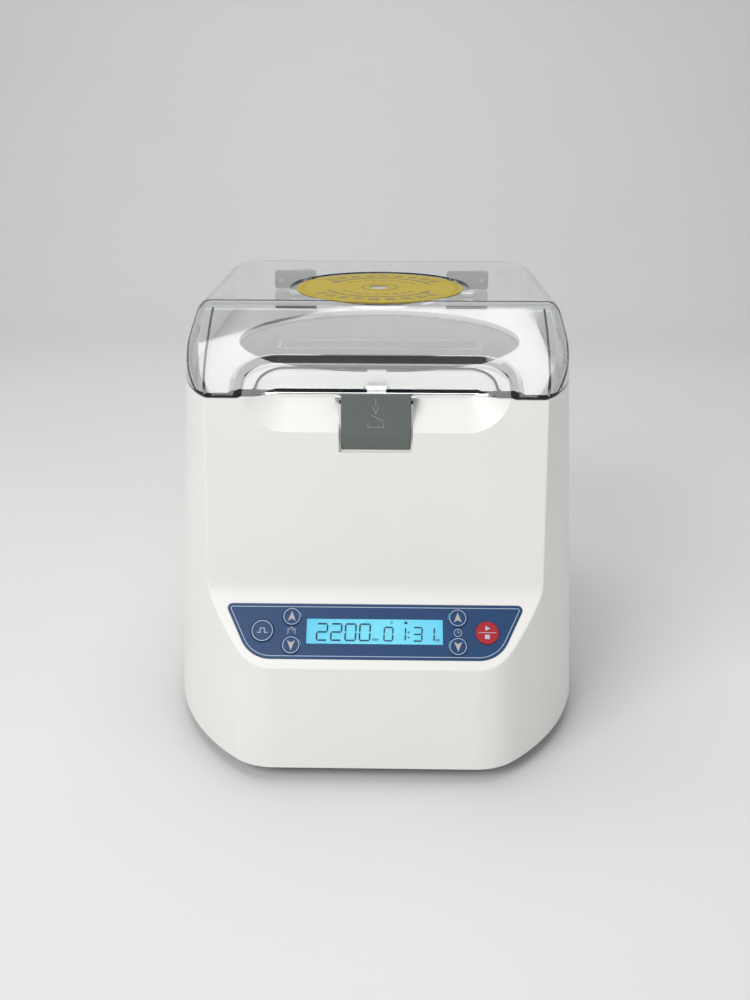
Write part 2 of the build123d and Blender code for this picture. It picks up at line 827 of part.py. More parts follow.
with BuildPart() as rotor:
    with BuildSketch(Plane.XY.offset(rotor_bottom)):
        with Locations(motor_axis):
            with GridLocations(1, 2 * slot_centre, 1, 2):
                Rectangle(slot_length + 2 * rotor_wall, pocket_outer_width)
    extrude(amount=rotor_height)
    with BuildSketch(Plane.XY.offset(rotor_bottom + rotor_base)):
        with Locations(motor_axis):
            with GridLocations(1, 2 * slot_centre, 1, 2):
                Rectangle(slot_length, slot_width)
    extrude(amount=rotor_height, mode=Mode.SUBTRACT)
    with BuildSketch(Plane.XZ.offset(-axis_y)):
        with Locations((0, rotor_bottom + rotor_base + plate_height / 2)):
            with GridLocations(20, 22, 5, 3):
                Circle(window_radius)
    extrude(amount=2 * rotor_swing_radius, both=True, mode=Mode.SUBTRACT)
    with BuildSketch(Plane.XY.offset(rotor_bottom)):
        with Locations(motor_axis):
            Circle(rotor_swing_radius - 4)
    extrude(amount=rotor_base)
    with BuildSketch(Plane.XY.offset(rotor_bottom + rotor_base)):
        with Locations(motor_axis):
            Circle(hub_radius)
            Rectangle(6, 2 * plate_offset + 2)
            with GridLocations(2 * plate_offset, 1, 2, 1):
                Rectangle(4, 2 * plate_offset + 2)
    extrude(amount=hub_height)
    add(rotor_limit.part, mode=Mode.INTERSECT)
    with BuildSketch(Plane.XY.offset(rotor_bottom - 1)):
        with Locations(motor_axis):
            Circle(shaft_radius)
    extrude(amount=rotor_height, mode=Mode.SUBTRACT)
rotor.part.label = "rotor"
export_step(rotor.part, "parts/rotor.step")

with BuildPart() as rotor_nut:
    with BuildSketch(Plane.XY.offset(hub_top)):
        with Locations(motor_axis):
            Circle(nut_radius)
            with PolarLocations(nut_radius + 1.2, 6):
                Circle(2.6, mode=Mode.SUBTRACT)
    extrude(amount=nut_height)
    fillet(rotor_nut.faces().sort_by(Axis.Z)[-1].edges(), 1.0)
    with BuildSketch(Plane.XY.offset(hub_top)):
        with Locations(motor_axis):
            Circle(shaft_radius)
    extrude(amount=shaft_top - hub_top, mode=Mode.SUBTRACT)
rotor_nut.part.label = "rotor_nut"
export_step(rotor_nut.part, "parts/rotor_nut.step")

with BuildPart() as motor_shaft:
    with BuildSketch(Plane.XY.offset(motor_bottom + 0.5)):
        with Locations(motor_axis):
            Circle(shaft_radius)
    extrude(amount=shaft_top - motor_bottom - 0.5)
    chamfer(motor_shaft.edges(), 0.4)
motor_shaft.part.label = "motor_shaft"
export_step(motor_shaft.part, "parts/motor_shaft.step")

with BuildPart() as motor_armature:
    with BuildSketch(Plane.XY.offset(motor_bottom + cap_thickness + 4)):
        with Locations(motor_axis):
            Circle(armature_radius)
            Circle(shaft_radius, mode=Mode.SUBTRACT)
    extrude(amount=motor_height - 2 * cap_thickness - 8)
motor_armature.part.label = "motor_armature"
export_step(motor_armature.part, "parts/motor_armature.step")

# ---- Control panel --------------------------------------------------------------------------
board_top_depth = casing_wall + board_setback
stem_end_depth = board_top_depth - switch_height - plunger_height - key_travel - key_rest_gap

with BuildPart() as control_overlay:
    with BuildSketch(panel_plane.offset(-panel_recess)):
        add(overlay_outline)
        for x, up, radius in key_places.values():
            with Locations((x, up)):
                Circle(radius + key_gap, mode=Mode.SUBTRACT)
        with Locations((0, display_centre)):
            Rectangle(display_length, display_height, mode=Mode.SUBTRACT)
    extrude(amount=panel_thickness)
control_overlay.part.label = "control_overlay"
export_step(control_overlay.part, "parts/control_overlay.step")

with BuildPart() as display_window:
    with BuildSketch(panel_plane.offset(-panel_recess)):
        with Locations((0, display_centre)):
            Rectangle(display_length - 2 * display_gap, display_height - 2 * display_gap)
    extrude(amount=panel_thickness)
display_window.part.label = "display_window"
export_step(display_window.part, "parts/display_window.step")

with BuildPart() as display_module:
    with BuildSketch(panel_plane.offset(-board_top_depth)):
        with Locations((0, display_centre)):
            Rectangle(display_length + display_margin, display_height + display_margin)
    extrude(amount=board_top_depth - casing_wall - module_gap)
    with BuildSketch(panel_plane.offset(-casing_wall - module_gap)):
        with Locations((0, display_centre)):
            Rectangle(display_length + 1, display_height + 1)
    extrude(amount=casing_wall - 2 * module_gap)
display_module.part.label = "display_module"
export_step(display_module.part, "parts/display_module.step")

for key_name, (x, up, radius) in key_places.items():
    with BuildPart() as key:
        with BuildSketch(panel_plane.offset(key_proud)):
            with Locations((x, up)):
                Circle(radius)
        extrude(amount=-key_proud - casing_wall * 0.5)
        fillet(key.edges().sort_by_distance(panel_plane.offset(30).origin)[0], key_edge_radius)
        with BuildSketch(panel_plane):
            with Locations((x, up)):
                Circle(key_stem_radius)
        extrude(amount=-stem_end_depth)
    key.part.label = key_name
    export_step(key.part, f"parts/{key_name}.step")

with BuildPart() as key_switches:
    with BuildSketch(panel_plane.offset(-board_top_depth)):
        for x, up, radius in key_places.values():
            with Locations((x, up)):
                Rectangle(switch_size, switch_size)
    extrude(amount=switch_height)
    with BuildSketch(panel_plane.offset(-board_top_depth + switch_height)):
        for x, up, radius in key_places.values():
            with Locations((x, up)):
                Circle(plunger_radius)
    extrude(amount=plunger_height)
key_switches.part.label = "key_switches"
export_step(key_switches.part, "parts/key_switches.step")

control_board_screw_places = [(-68.0, 33.0), (68.0, 33.0), (-50.0, 6.0), (50.0, 6.0)]
with BuildPart() as control_board:
    with BuildSketch(panel_plane.offset(-board_top_depth - board_thickness)):
        with BuildLine():
            Polyline((-72, 36), (-54, 3), (54, 3), (72, 36), close=True)
        make_face()
        with Locations(*control_board_screw_places):
            Circle(screw_radius, mode=Mode.SUBTRACT)
    extrude(amount=board_thickness)
control_board.part.label = "control_board"
export_step(control_board.part, "parts/control_board.step")

with BuildPart() as control_board_spacers:
    with BuildSketch(panel_plane.offset(-board_top_depth)):
        with Locations(*control_board_screw_places):
            Circle(spacer_radius)
            Circle(screw_radius, mode=Mode.SUBTRACT)
    extrude(amount=board_top_depth - casing_wall)
control_board_spacers.part.label = "control_board_spacers"
export_step(control_board_spacers.part, "parts/control_board_spacers.step")

control_board_screws = screws(
    panel_plane.offset(-board_top_depth - board_thickness), control_board_screw_places,
    board_thickness + board_setback - 0.7, board_screw_head_radius, board_screw_head_height, into=1
)
control_board_screws.label = "control_board_screws"
export_step(control_board_screws, "parts/control_board_screws.step")

# ---- Drive board ----------------------------------------------------------------------------
drive_board_y = front_y + drive_board_setback
drive_board_bottom = base_top + drive_board_lift
drive_board_screw_places = [
    (
        side * (drive_board_length / 2 - drive_board_screw_inset),
        drive_board_y + end * (drive_board_width / 2 - drive_board_screw_inset),
    )
    for side in (-1, 1)
    for end in (-1, 1)
]
with BuildPart() as drive_board:
    with BuildSketch(Plane.XY.offset(drive_board_bottom)):
        with Locations((0, drive_board_y)):
            Rectangle(drive_board_length, drive_board_width)
        with Locations(*drive_board_screw_places):
            Circle(screw_radius, mode=Mode.SUBTRACT)
    extrude(amount=board_thickness)
drive_board.part.label = "drive_board"
export_step(drive_board.part, "parts/drive_board.step")

with BuildPart() as board_spacers:
    with BuildSketch(Plane.XY.offset(base_top)):
        with Locations(*drive_board_screw_places):
            RegularPolygon(3.4, 6)
            Circle(screw_radius, mode=Mode.SUBTRACT)
    extrude(amount=drive_board_bottom - base_top)
board_spacers.part.label = "board_spacers"
export_step(board_spacers.part, "parts/board_spacers.step")

drive_board_screws = screws(
    Plane.XY.offset(drive_board_bottom + board_thickness), drive_board_screw_places,
    board_thickness + drive_board_lift - 2, board_screw_head_radius, board_screw_head_height
)
drive_board_screws.label = "drive_board_screws"
export_step(drive_board_screws, "parts/drive_board_screws.step")

board_face = drive_board_bottom + board_thickness
with BuildPart() as drive_components:
    with BuildSketch(Plane.XY.offset(board_face)):
        with Locations((-36, drive_board_y + 12), (-20, drive_board_y + 12)):
            Circle(capacitor_radius)
    extrude(amount=capacitor_height)
    with BuildSketch(Plane.XY.offset(board_face)):
        with Locations((0, drive_board_y - 14)):
            Rectangle(12, 12)
        with Locations((26, drive_board_y - 18)):
            Rectangle(18, 8)
    extrude(amount=3)
    with BuildSketch(Plane.XY.offset(board_face)):
        with Locations((30, drive_board_y + 14)):
            Rectangle(30, 3)
            with Locations((0, 4)):
                with GridLocations(5, 1, 6, 1):
                    Rectangle(1.6, 6)
    extrude(amount=22)
drive_components.part.label = "drive_components"
export_step(drive_components.part, "parts/drive_components.step")

# ---- Latch ----------------------------------------------------------------------------------
def face_y(height):
    """How far back the upper front face stands at a height."""
    return rim_front_y + (height - rim_height) * tan(radians(upper_lean))


arm_inner = latch_half_width - latch_arm_inset
arm_width = latch_arm_width
hook_front_y = front_y + striker_setback
hook_back_y = hook_front_y + striker_thickness
catch_y = hook_back_y + striker_nose + catch_clearance

with BuildPart() as latch_button:
    with BuildSketch(Plane.YZ.offset(-latch_half_width)):
        with BuildLine():
            Polyline(
                (face_y(latch_top), latch_top),
                (face_y(latch_crease), latch_crease),
                (face_y(latch_bottom) + latch_tip_setback, latch_bottom),
                (face_y(latch_bottom) + latch_tip_setback + latch_thickness, latch_bottom + 0.8),
                (face_y(latch_crease) + latch_thickness, latch_crease),
                (face_y(latch_top) + latch_thickness, latch_top),
                close=True,
            )
        make_face()
    extrude(amount=2 * latch_half_width)
    for side in (-1, 1):
        with BuildSketch(Plane.YZ.offset(side * (arm_inner + arm_width / 2))):
            with BuildLine():
                Polyline(
                    (face_y(latch_pin_height) + 1.0, latch_pin_height + 1.9),
                    (latch_pin_y, latch_pin_height + 2.2),
                    (latch_pin_y + 2.4, latch_pin_height - 1.6),
                    (latch_pin_y + 4.0, catch_height + 9.0),
                    (catch_y + catch_size, catch_height + 1.5),
                    (catch_y + catch_size, catch_height - 1.5),
                    (catch_y, catch_height - 1.5),
                    (latch_pin_y + 3.0, catch_height + 1.0),
                    (face_y(catch_height) + 1.0, catch_height),
                    close=True,
                )
            make_face()
            with Locations((latch_pin_y, latch_pin_height)):
                Circle(latch_boss_radius)
        extrude(amount=arm_width / 2, both=True)
    with BuildSketch(Plane.YZ.offset(-arm_inner - arm_width / 2)):
        with Locations((catch_y + catch_size / 2, catch_height)):
            Rectangle(catch_size, catch_size)
    extrude(amount=2 * arm_inner + arm_width)
    with BuildSketch(Plane.YZ.offset(-latch_half_width)):
        with Locations((latch_pin_y, latch_pin_height)):
            Circle(latch_pin_radius + latch_pin_fit)
    extrude(amount=2 * latch_half_width, mode=Mode.SUBTRACT)
    face_edges = latch_button.edges().filter_by(
        lambda e: e.center().Y < face_y(e.center().Z) + 2.3
        and abs(e.center().X) > latch_half_width - 0.1
        and e.length > 5
    )
    fillet(face_edges, latch_edge_radius)
latch_button.part.label = "latch_button"
export_step(latch_button.part, "parts/latch_button.step")

with BuildPart() as latch_pin:
    with BuildSketch(Plane.YZ.offset(-latch_slot_half - 2)):
        with Locations((latch_pin_y, latch_pin_height)):
            Circle(latch_pin_radius)
    extrude(amount=2 * latch_slot_half + 4)
latch_pin.part.label = "latch_pin"
export_step(latch_pin.part, "parts/latch_pin.step")

with BuildPart() as latch_spring:
    with BuildLine():
        coil = Helix(
            pitch=spring_pitch,
            height=spring_pitch * spring_turns,
            radius=spring_radius,
            center=(-spring_pitch * spring_turns / 2, latch_pin_y, latch_pin_height),
            direction=(1, 0, 0),
        )
    with BuildSketch(Plane(coil @ 0, z_dir=coil % 0)):
        Circle(spring_wire_radius)
    sweep(path=coil)
latch_spring.part.label = "latch_spring"
export_step(latch_spring.part, "parts/latch_spring.step")

switch_front_y = hook_front_y + interlock_setback
with BuildPart() as lid_switch:
    with BuildSketch(Plane.XZ.offset(-switch_front_y)):
        with Locations((0, catch_height)):
            Rectangle(20, 10)
            with GridLocations(interlock_pitch, 1, 2, 1):
                Circle(interlock_hole_radius, mode=Mode.SUBTRACT)
    extrude(amount=-interlock_depth)
    with BuildSketch(Plane.XZ.offset(-switch_front_y)):
        with Locations((0, catch_height + 3.6)):
            Rectangle(14, 1.2)
    extrude(amount=2.2)
lid_switch.part.label = "lid_switch"
export_step(lid_switch.part, "parts/lid_switch.step")

with BuildPart() as switch_bracket:
    with BuildSketch(Plane.XZ.offset(-switch_front_y - interlock_depth)):
        with Locations((0, (deck_bottom + catch_height - 6) / 2)):
            Rectangle(24, deck_bottom - catch_height + 6)
        with Locations((0, catch_height)):
            with GridLocations(interlock_pitch, 1, 2, 1):
                Circle(interlock_hole_radius, mode=Mode.SUBTRACT)
    extrude(amount=-interlock_bracket_thickness)
switch_bracket.part.label = "switch_bracket"
export_step(switch_bracket.part, "parts/switch_bracket.step")

# ---- Lid ------------------------------------------------------------------------------------
hinge_axis_y = lid_rear_y + hinge_gap + hinge_barrel_radius
hinge_axis_z = deck_top + hinge_base + hinge_gap + hinge_barrel_radius
leaf_low = hinge_axis_z + hinge_barrel_radius + 0.8
leaf_height = hinge_leaf_height
leaf_screw_places = [
    (side * hinge_x + end * hinge_width * 0.33, leaf_low + leaf_height / 2)
    for side in (-1, 1)
    for end in (-1, 1)
]

lid_outer = lid_form(0.0)
lid_hollow = lid_form(lid_wall)
pocket = pocket_form(0.0)
pocket_limit = pocket_form(lid_wall)

with BuildPart() as lid_shell:
    add(lid_outer)
    add(lid_hollow - pocket_limit, mode=Mode.SUBTRACT)
    add(pocket, mode=Mode.SUBTRACT)
    add(scoop, mode=Mode.SUBTRACT)
    with BuildSketch(Plane.XY.offset(rim_height)):
        Rectangle(2 * body_width, 2 * body_depth)
    extrude(amount=-40, mode=Mode.SUBTRACT)
    with BuildSketch(Plane.XY.offset(lid_top_height - label_recess_depth)):
        with Locations(motor_axis):
            Circle(label_recess_radius)
    extrude(amount=10, mode=Mode.SUBTRACT)
    with BuildSketch(Plane.XZ.offset(-lid_rear_y)):
        with Locations(*leaf_screw_places):
            Circle(screw_radius)
    extrude(amount=lid_wall, mode=Mode.SUBTRACT)
lid_shell.part.label = "lid_shell"
export_step(lid_shell.part, "parts/lid_shell.step")

with BuildPart() as lid_label:
    with BuildSketch(Plane.XY.offset(lid_top_height - label_recess_depth)):
        with Locations(motor_axis):
            Circle(label_radius)
            Circle(label_hole_radius, mode=Mode.SUBTRACT)
    extrude(amount=label_thickness)
lid_label.part.label = "lid_label"
export_step(lid_label.part, "parts/lid_label.step")


def pocket_underside(y):
    """Height of the lid's underside below its front pocket."""
    drop = (pocket_depth + lid_wall) / cos(radians(lid_slope))
    return rim_height + lid_lip + (y - rim_front_y) * tan(radians(lid_slope)) - drop


gusset_y = hook_front_y + striker_gusset
hook_tip = catch_height - catch_size / 2 - 3.0
with BuildPart() as lid_striker:
    with BuildSketch(Plane.YZ.offset(-striker_width / 2)):
        with BuildLine():
            Polyline(
                (hook_front_y, hook_tip),
                (hook_back_y, hook_tip),
                (hook_back_y + striker_nose, hook_tip + 1.0),
                (hook_back_y + striker_nose, hook_tip + 2.6),
                (hook_back_y, hook_tip + 3.0),
                (hook_back_y, rim_height - 2.0),
                (gusset_y, pocket_underside(gusset_y)),
                (hook_front_y, pocket_underside(hook_front_y)),
                close=True,
            )
        make_face()
    extrude(amount=striker_width)
lid_striker.part.label = "lid_striker"
export_step(lid_striker.part, "parts/lid_striker.step")

knuckle_width = hinge_width / 3 - hinge_gap
web_y = lid_rear_y + (hinge_gap + hinge_leaf) / 2
with BuildPart() as lid_hinge_leaves:
    for side in (-1, 1):
        with BuildSketch(Plane.XZ.offset(-lid_rear_y)):
            with Locations((side * hinge_x, leaf_low + leaf_height / 2)):
                RectangleRounded(hinge_width, leaf_height, 2)
            with Locations(*leaf_screw_places):
                Circle(screw_radius, mode=Mode.SUBTRACT)
        extrude(amount=-hinge_leaf)
        with BuildSketch(Plane.YZ.offset(side * hinge_x)):
            with Locations((hinge_axis_y, hinge_axis_z)):
                Circle(hinge_barrel_radius)
            with Locations((web_y, (hinge_axis_z + leaf_low + 1) / 2)):
                Rectangle(hinge_leaf - hinge_gap, leaf_low + 1 - hinge_axis_z)
            with Locations((hinge_axis_y, hinge_axis_z)):
                Circle(hinge_pin_radius + hinge_fit, mode=Mode.SUBTRACT)
        extrude(amount=knuckle_width / 2, both=True)
lid_hinge_leaves.part.label = "lid_hinge_leaves"
export_step(lid_hinge_leaves.part, "parts/lid_hinge_leaves.step")

lid_hinge_screws = screws(
    Plane(origin=(0, lid_rear_y + hinge_leaf, 0), x_dir=(-1, 0, 0), z_dir=(0, 1, 0)),
    [(-x, z) for x, z in leaf_screw_places], hinge_leaf + lid_wall,
    hinge_screw_head_radius, hinge_screw_head_height
)
lid_hinge_screws.label = "lid_hinge_screws"
export_step(lid_hinge_screws, "parts/lid_hinge_screws.step")

outer_knuckle = hinge_width / 3
with BuildPart() as casing_hinge_brackets:
    for side in (-1, 1):
        with BuildSketch(Plane.XY.offset(deck_top)):
            with Locations((side * hinge_x, hinge_axis_y)):
                Rectangle(hinge_width, 2 * hinge_barrel_radius)
        extrude(amount=hinge_base)
        for end in (-1, 1):
            with BuildSketch(Plane.YZ.offset(side * hinge_x + end * outer_knuckle)):
                with Locations((hinge_axis_y, hinge_axis_z)):
                    Circle(hinge_barrel_radius)
                with Locations((hinge_axis_y, (deck_top + hinge_axis_z) / 2)):
                    Rectangle(2 * hinge_barrel_radius, hinge_axis_z - deck_top)
                with Locations((hinge_axis_y, hinge_axis_z)):
                    Circle(hinge_pin_radius, mode=Mode.SUBTRACT)
            extrude(amount=outer_knuckle / 2, both=True)
casing_hinge_brackets.part.label = "casing_hinge_brackets"
export_step(casing_hinge_brackets.part, "parts/casing_hinge_brackets.step")

with BuildPart() as hinge_pins:
    for side in (-1, 1):
        with BuildSketch(Plane.YZ.offset(side * hinge_x)):
            with Locations((hinge_axis_y, hinge_axis_z)):
                Circle(hinge_pin_radius)
        extrude(amount=hinge_width / 2 + 0.5, both=True)
hinge_pins.part.label = "hinge_pins"
export_step(hinge_pins.part, "parts/hinge_pins.step")

# ---- Rear services --------------------------------------------------------------------------
service_plane = rear_plane.offset(-service_recess)
flange_proud = service_recess - flange_setback
rocker_axis_y = rear_y - flange_setback - rocker_reach * cos(radians(rocker_rim_angle - rocker_swing))

with BuildPart() as power_inlet:
    with BuildSketch(service_plane):
        with Locations((-inlet_x, service_height)):
            Circle(inlet_flange_radius)
    extrude(amount=flange_proud)
    with BuildSketch(service_plane):
        with Locations((-inlet_x, service_height)):
            Circle(inlet_radius)
    extrude(amount=-inlet_length)
    with BuildSketch(service_plane.offset(flange_proud)):
        with Locations((-inlet_x, service_height)):
            Circle(inlet_socket_radius)
            Circle(inlet_pin_radius, mode=Mode.SUBTRACT)
    extrude(amount=-socket_depth, mode=Mode.SUBTRACT)
power_inlet.part.label = "power_inlet"
export_step(power_inlet.part, "parts/power_inlet.step")

cavity_width = rocker_width - 2 * rocker_wall
cavity_height = 2 * rocker_reach + 0.8
cavity_floor_y = rocker_axis_y - 4.4
with BuildPart() as switch_frame:
    with BuildSketch(service_plane):
        with Locations((-rocker_x, service_height)):
            RectangleRounded(rocker_width + 3, rocker_height + 3, 1.5)
    extrude(amount=flange_proud)
    with BuildSketch(service_plane):
        with Locations((-rocker_x, service_height)):
            Rectangle(rocker_width, rocker_height)
    extrude(amount=-(rear_y - service_recess - cavity_floor_y) - 4)
    with BuildSketch(rear_plane):
        with Locations((-rocker_x, service_height)):
            Rectangle(cavity_width, cavity_height)
    extrude(amount=-(rear_y - cavity_floor_y), mode=Mode.SUBTRACT)
    with BuildSketch(Plane.YZ.offset(rocker_x)):
        with Locations((rocker_axis_y, service_height)):
            Circle(rocker_pivot_radius + rocker_pivot_gap)
    extrude(amount=rocker_width / 2 - rocker_side_gap, both=True, mode=Mode.SUBTRACT)
switch_frame.part.label = "switch_frame"
export_step(switch_frame.part, "parts/switch_frame.step")


def rocker_point(radius, angle):
    """A point of the rocker's section, by radius and by angle above straight out."""
    return (
        rocker_axis_y + radius * cos(radians(angle)),
        service_height + radius * sin(radians(angle)),
    )


with BuildPart() as power_rocker:
    with BuildSketch(Plane.YZ.offset(rocker_x)):
        with BuildLine():
            Polyline(
                rocker_point(rocker_reach, rocker_rim_angle),
                rocker_point(2.8, 10),
                rocker_point(rocker_reach, rocker_swing - rocker_rim_angle),
                rocker_point(3.6, -140),
                rocker_point(3.6, 160),
                close=True,
            )
        make_face()
    extrude(amount=cavity_width / 2 - rocker_side_gap, both=True)
    with BuildSketch(Plane.YZ.offset(rocker_x)):
        with Locations((rocker_axis_y, service_height)):
            Circle(rocker_pivot_radius)
    extrude(amount=rocker_width / 2 - rocker_side_gap - 0.2, both=True)
power_rocker.part.label = "power_rocker"
export_step(power_rocker.part, "parts/power_rocker.step")

# ---- Internal leads -------------------------------------------------------------------------
ribbon_start = panel_plane.from_local_coords((0, 12, -board_top_depth - board_thickness))
with BuildPart() as display_ribbon:
    with BuildSketch(Plane.YZ.offset(-ribbon_width / 2)):
        with BuildLine() as route:
            FilletPolyline(
                (ribbon_start.Y, ribbon_start.Z),
                (ribbon_start.Y + 12, ribbon_start.Z - 11),
                (drive_board_y - drive_board_width / 2 + 4, board_face + 12),
                (drive_board_y - drive_board_width / 2 + 4, board_face),
                radius=4,
            )
        trace(line_width=ribbon_thickness)
    extrude(amount=ribbon_width)
display_ribbon.part.label = "display_ribbon"
export_step(display_ribbon.part, "parts/display_ribbon.step")

with BuildPart() as motor_lead:
    with BuildLine() as route:
        FilletPolyline(
            (0, axis_y - motor_radius, motor_bottom + 12),
            (0, axis_y - motor_radius - 22, motor_bottom + 12),
            (0, drive_board_y + drive_board_width / 2 - 6, board_face + 12),
            (0, drive_board_y + drive_board_width / 2 - 6, board_face),
            radius=6,
        )
    with BuildSketch(Plane(route.line @ 0, z_dir=route.line % 0)):
        Circle(lead_radius)
    sweep()
motor_lead.part.label = "motor_lead"
export_step(motor_lead.part, "parts/motor_lead.step")

with BuildPart() as power_lead:
    with BuildLine() as route:
        FilletPolyline(
            (inlet_x, rear_y - service_recess - inlet_length, service_height),
            (inlet_x, rear_y - 40, service_height),
            (-60, axis_y, base_top + 3),
            (-60, drive_board_y + 20, base_top + 3),
            (-50, drive_board_y + 10, base_top + 3),
            radius=10,
        )
    with BuildSketch(Plane(route.line @ 0, z_dir=route.line % 0)):
        Circle(lead_radius)
    sweep()
power_lead.part.label = "power_lead"
export_step(power_lead.part, "parts/power_lead.step")
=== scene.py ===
"""Looks of a benchtop microplate centrifuge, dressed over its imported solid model."""

import json
import logging
import math
from dataclasses import dataclass
from enum import Enum
from typing import Any, Iterable, Optional, Sequence

import bmesh
import bpy
from mathutils import Matrix, Vector


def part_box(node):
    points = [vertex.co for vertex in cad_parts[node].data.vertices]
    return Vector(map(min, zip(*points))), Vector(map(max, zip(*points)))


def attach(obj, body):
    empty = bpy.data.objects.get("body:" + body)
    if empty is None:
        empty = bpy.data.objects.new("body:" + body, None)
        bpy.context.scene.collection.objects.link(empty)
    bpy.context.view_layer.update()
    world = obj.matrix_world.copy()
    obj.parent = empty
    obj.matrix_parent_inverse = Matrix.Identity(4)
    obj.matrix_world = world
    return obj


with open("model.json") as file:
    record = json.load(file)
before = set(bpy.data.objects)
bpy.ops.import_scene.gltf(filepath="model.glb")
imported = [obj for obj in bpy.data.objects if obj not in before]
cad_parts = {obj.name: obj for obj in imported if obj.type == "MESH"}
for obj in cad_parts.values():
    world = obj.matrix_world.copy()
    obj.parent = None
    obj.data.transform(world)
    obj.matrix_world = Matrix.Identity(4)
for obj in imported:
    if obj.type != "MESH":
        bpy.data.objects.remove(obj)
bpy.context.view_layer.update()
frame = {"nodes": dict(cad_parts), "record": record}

log = logging.getLogger("centrifuge")
Colour = tuple[float, float, float]
Point2 = tuple[float, float]


class Body(str, Enum):
    """Rigid bodies that the dressed pieces ride on."""

    HOUSING = "housing"
    LID = "lid"
    LATCH = "latch_button_body"
    ROTOR = "rotor_body"


# ---------------------------------------------------------------------------------------------
# Shader building
# ---------------------------------------------------------------------------------------------


class Value:
    """A shader socket that can be used in arithmetic."""

    def __init__(self, tree: "ShaderTree", socket: bpy.types.NodeSocket) -> None:
        """Wraps a socket.

        Args:
            tree: the tree that new Math nodes go into.
            socket: the output socket that carries the number.
        """
        self.tree = tree
        self.socket = socket

    def _math(self, operation: str, first: Any, second: Any = None) -> "Value":
        """Adds one Math node.

        Args:
            operation: the Math node's operation.
            first: left operand.
            second: right operand, if the operation takes two.

        Returns:
            The result as a new value.
        """
        inputs = {0: first} if second is None else {0: first, 1: second}
        node = self.tree.add("ShaderNodeMath", {"operation": operation}, inputs)
        return Value(self.tree, node.outputs[0])

    def __add__(self, other: Any) -> "Value":
        """Sum."""
        return self._math("ADD", self, other)

    __radd__ = __add__

    def __sub__(self, other: Any) -> "Value":
        """Difference."""
        return self._math("SUBTRACT", self, other)

    def __mul__(self, other: Any) -> "Value":
        """Product."""
        return self._math("MULTIPLY", self, other)

    __rmul__ = __mul__

    def __truediv__(self, other: Any) -> "Value":
        """Quotient."""
        return self._math("DIVIDE", self, other)

    def clamp(self) -> "Value":
        """Held between 0 and 1."""
        low = self._math("MAXIMUM", self, 0.0)
        return low._math("MINIMUM", low, 1.0)

    def above(self, limit: float, soft: float) -> "Value":
        """A soft step: 0 under the limit, 1 past it.

        Args:
            limit: where the step is centred.
            soft: half the width of the step.

        Returns:
            The step as a value between 0 and 1.
        """
        return ((self - (limit - soft)) / (2 * soft)).clamp()


class ShaderTree:
    """A material's node tree with one principled shader."""

    def __init__(self, name: str) -> None:
        """Makes the material.

        Args:
            name: the material's name.
        """
        self.material = bpy.data.materials.new(name)
        self.material.use_nodes = True
        self.nodes = self.material.node_tree.nodes
        self.links = self.material.node_tree.links
        self.shader = next(n for n in self.nodes if n.type == "BSDF_PRINCIPLED")

    def add(
        self,
        kind: str,
        settings: Optional[dict[str, Any]] = None,
        inputs: Optional[dict[Any, Any]] = None,
    ) -> bpy.types.Node:
        """Adds any node.

        Args:
            kind: the node's type name.
            settings: attributes set first; "stops" gives a ramp's places and colours.
            inputs: values or links of its sockets, by index or name.

        Returns:
            The new node.
        """
        node = self.nodes.new(kind)
        for key, value in (settings or {}).items():
            if key == "stops":
                ramp = node.color_ramp
                while len(ramp.elements) < len(value):
                    ramp.elements.new(0.5)
                for element, (place, colour) in zip(ramp.elements, value):
                    element.position = place
                    element.color = (*colour, 1.0)
            else:
                setattr(node, key, value)
        for key, value in (inputs or {}).items():
            self.feed(node.inputs[key], value)
        return node

    def feed(self, socket: bpy.types.NodeSocket, value: Any) -> None:
        """Links or sets one socket.

        Args:
            socket: the input socket.
            value: a Value, an output socket, or a plain number or colour.
        """
        if isinstance(value, Value):
            self.links.new(value.socket, socket)
        elif isinstance(value, bpy.types.NodeSocket):
            self.links.new(value, socket)
        else:
            socket.default_value = value

    def set(self, **sockets: Any) -> None:
        """Sets the principled shader's sockets, with underscores standing for spaces."""
        for key, value in sockets.items():
            name = key.replace("_", " ")
            if name in ("Base Color", "Emission Color", "Specular Tint") and isinstance(
                value, tuple
            ):
                value = (*value, 1.0)
            self.feed(self.shader.inputs[name], value)

    def place(self) -> bpy.types.NodeSocket:
        """The surface point's own coordinates, in metres."""
        return self.add("ShaderNodeTexCoord").outputs["Object"]

    def noise(self, scale: float, detail: float = 2.0, at: Any = None) -> Value:
        """A noise value between 0 and 1.

        Args:
            scale: blobs per metre.
            detail: octaves.
            at: coordinates, or the object's own when left out.

        Returns:
            The noise.
        """
        node = self.add(
            "ShaderNodeTexNoise",
            {"noise_dimensions": "3D"},
            {"Vector": at or self.place(), "Scale": scale, "Detail": detail},
        )
        return Value(self, node.outputs[0])

    def blend(self, factor: Any, first: Any, second: Any) -> bpy.types.NodeSocket:
        """Mixes two colours.

        Args:
            factor: 0 gives the first, 1 the second.
            first: colour or colour socket.
            second: colour or colour socket.

        Returns:
            The mixed colour.
        """
        node = self.add("ShaderNodeMix", {"data_type": "RGBA"})
        self.feed(node.inputs[0], factor)
        for socket, value in ((node.inputs[6], first), (node.inputs[7], second)):
            self.feed(socket, (*value, 1.0) if isinstance(value, tuple) else value)
        return node.outputs[2]

    def bump(self, height: Value, depth: float, strength: float = 1.0) -> None:
        """Raises the surface by a value.

        Args:
            height: the value.
            depth: metres that a value of one stands for.
            strength: how much of it shows.
        """
        node = self.add(
            "ShaderNodeBump", None, {"Height": height, "Distance": depth, "Strength": strength}
        )
        self.feed(self.shader.inputs["Normal"], node.outputs[0])


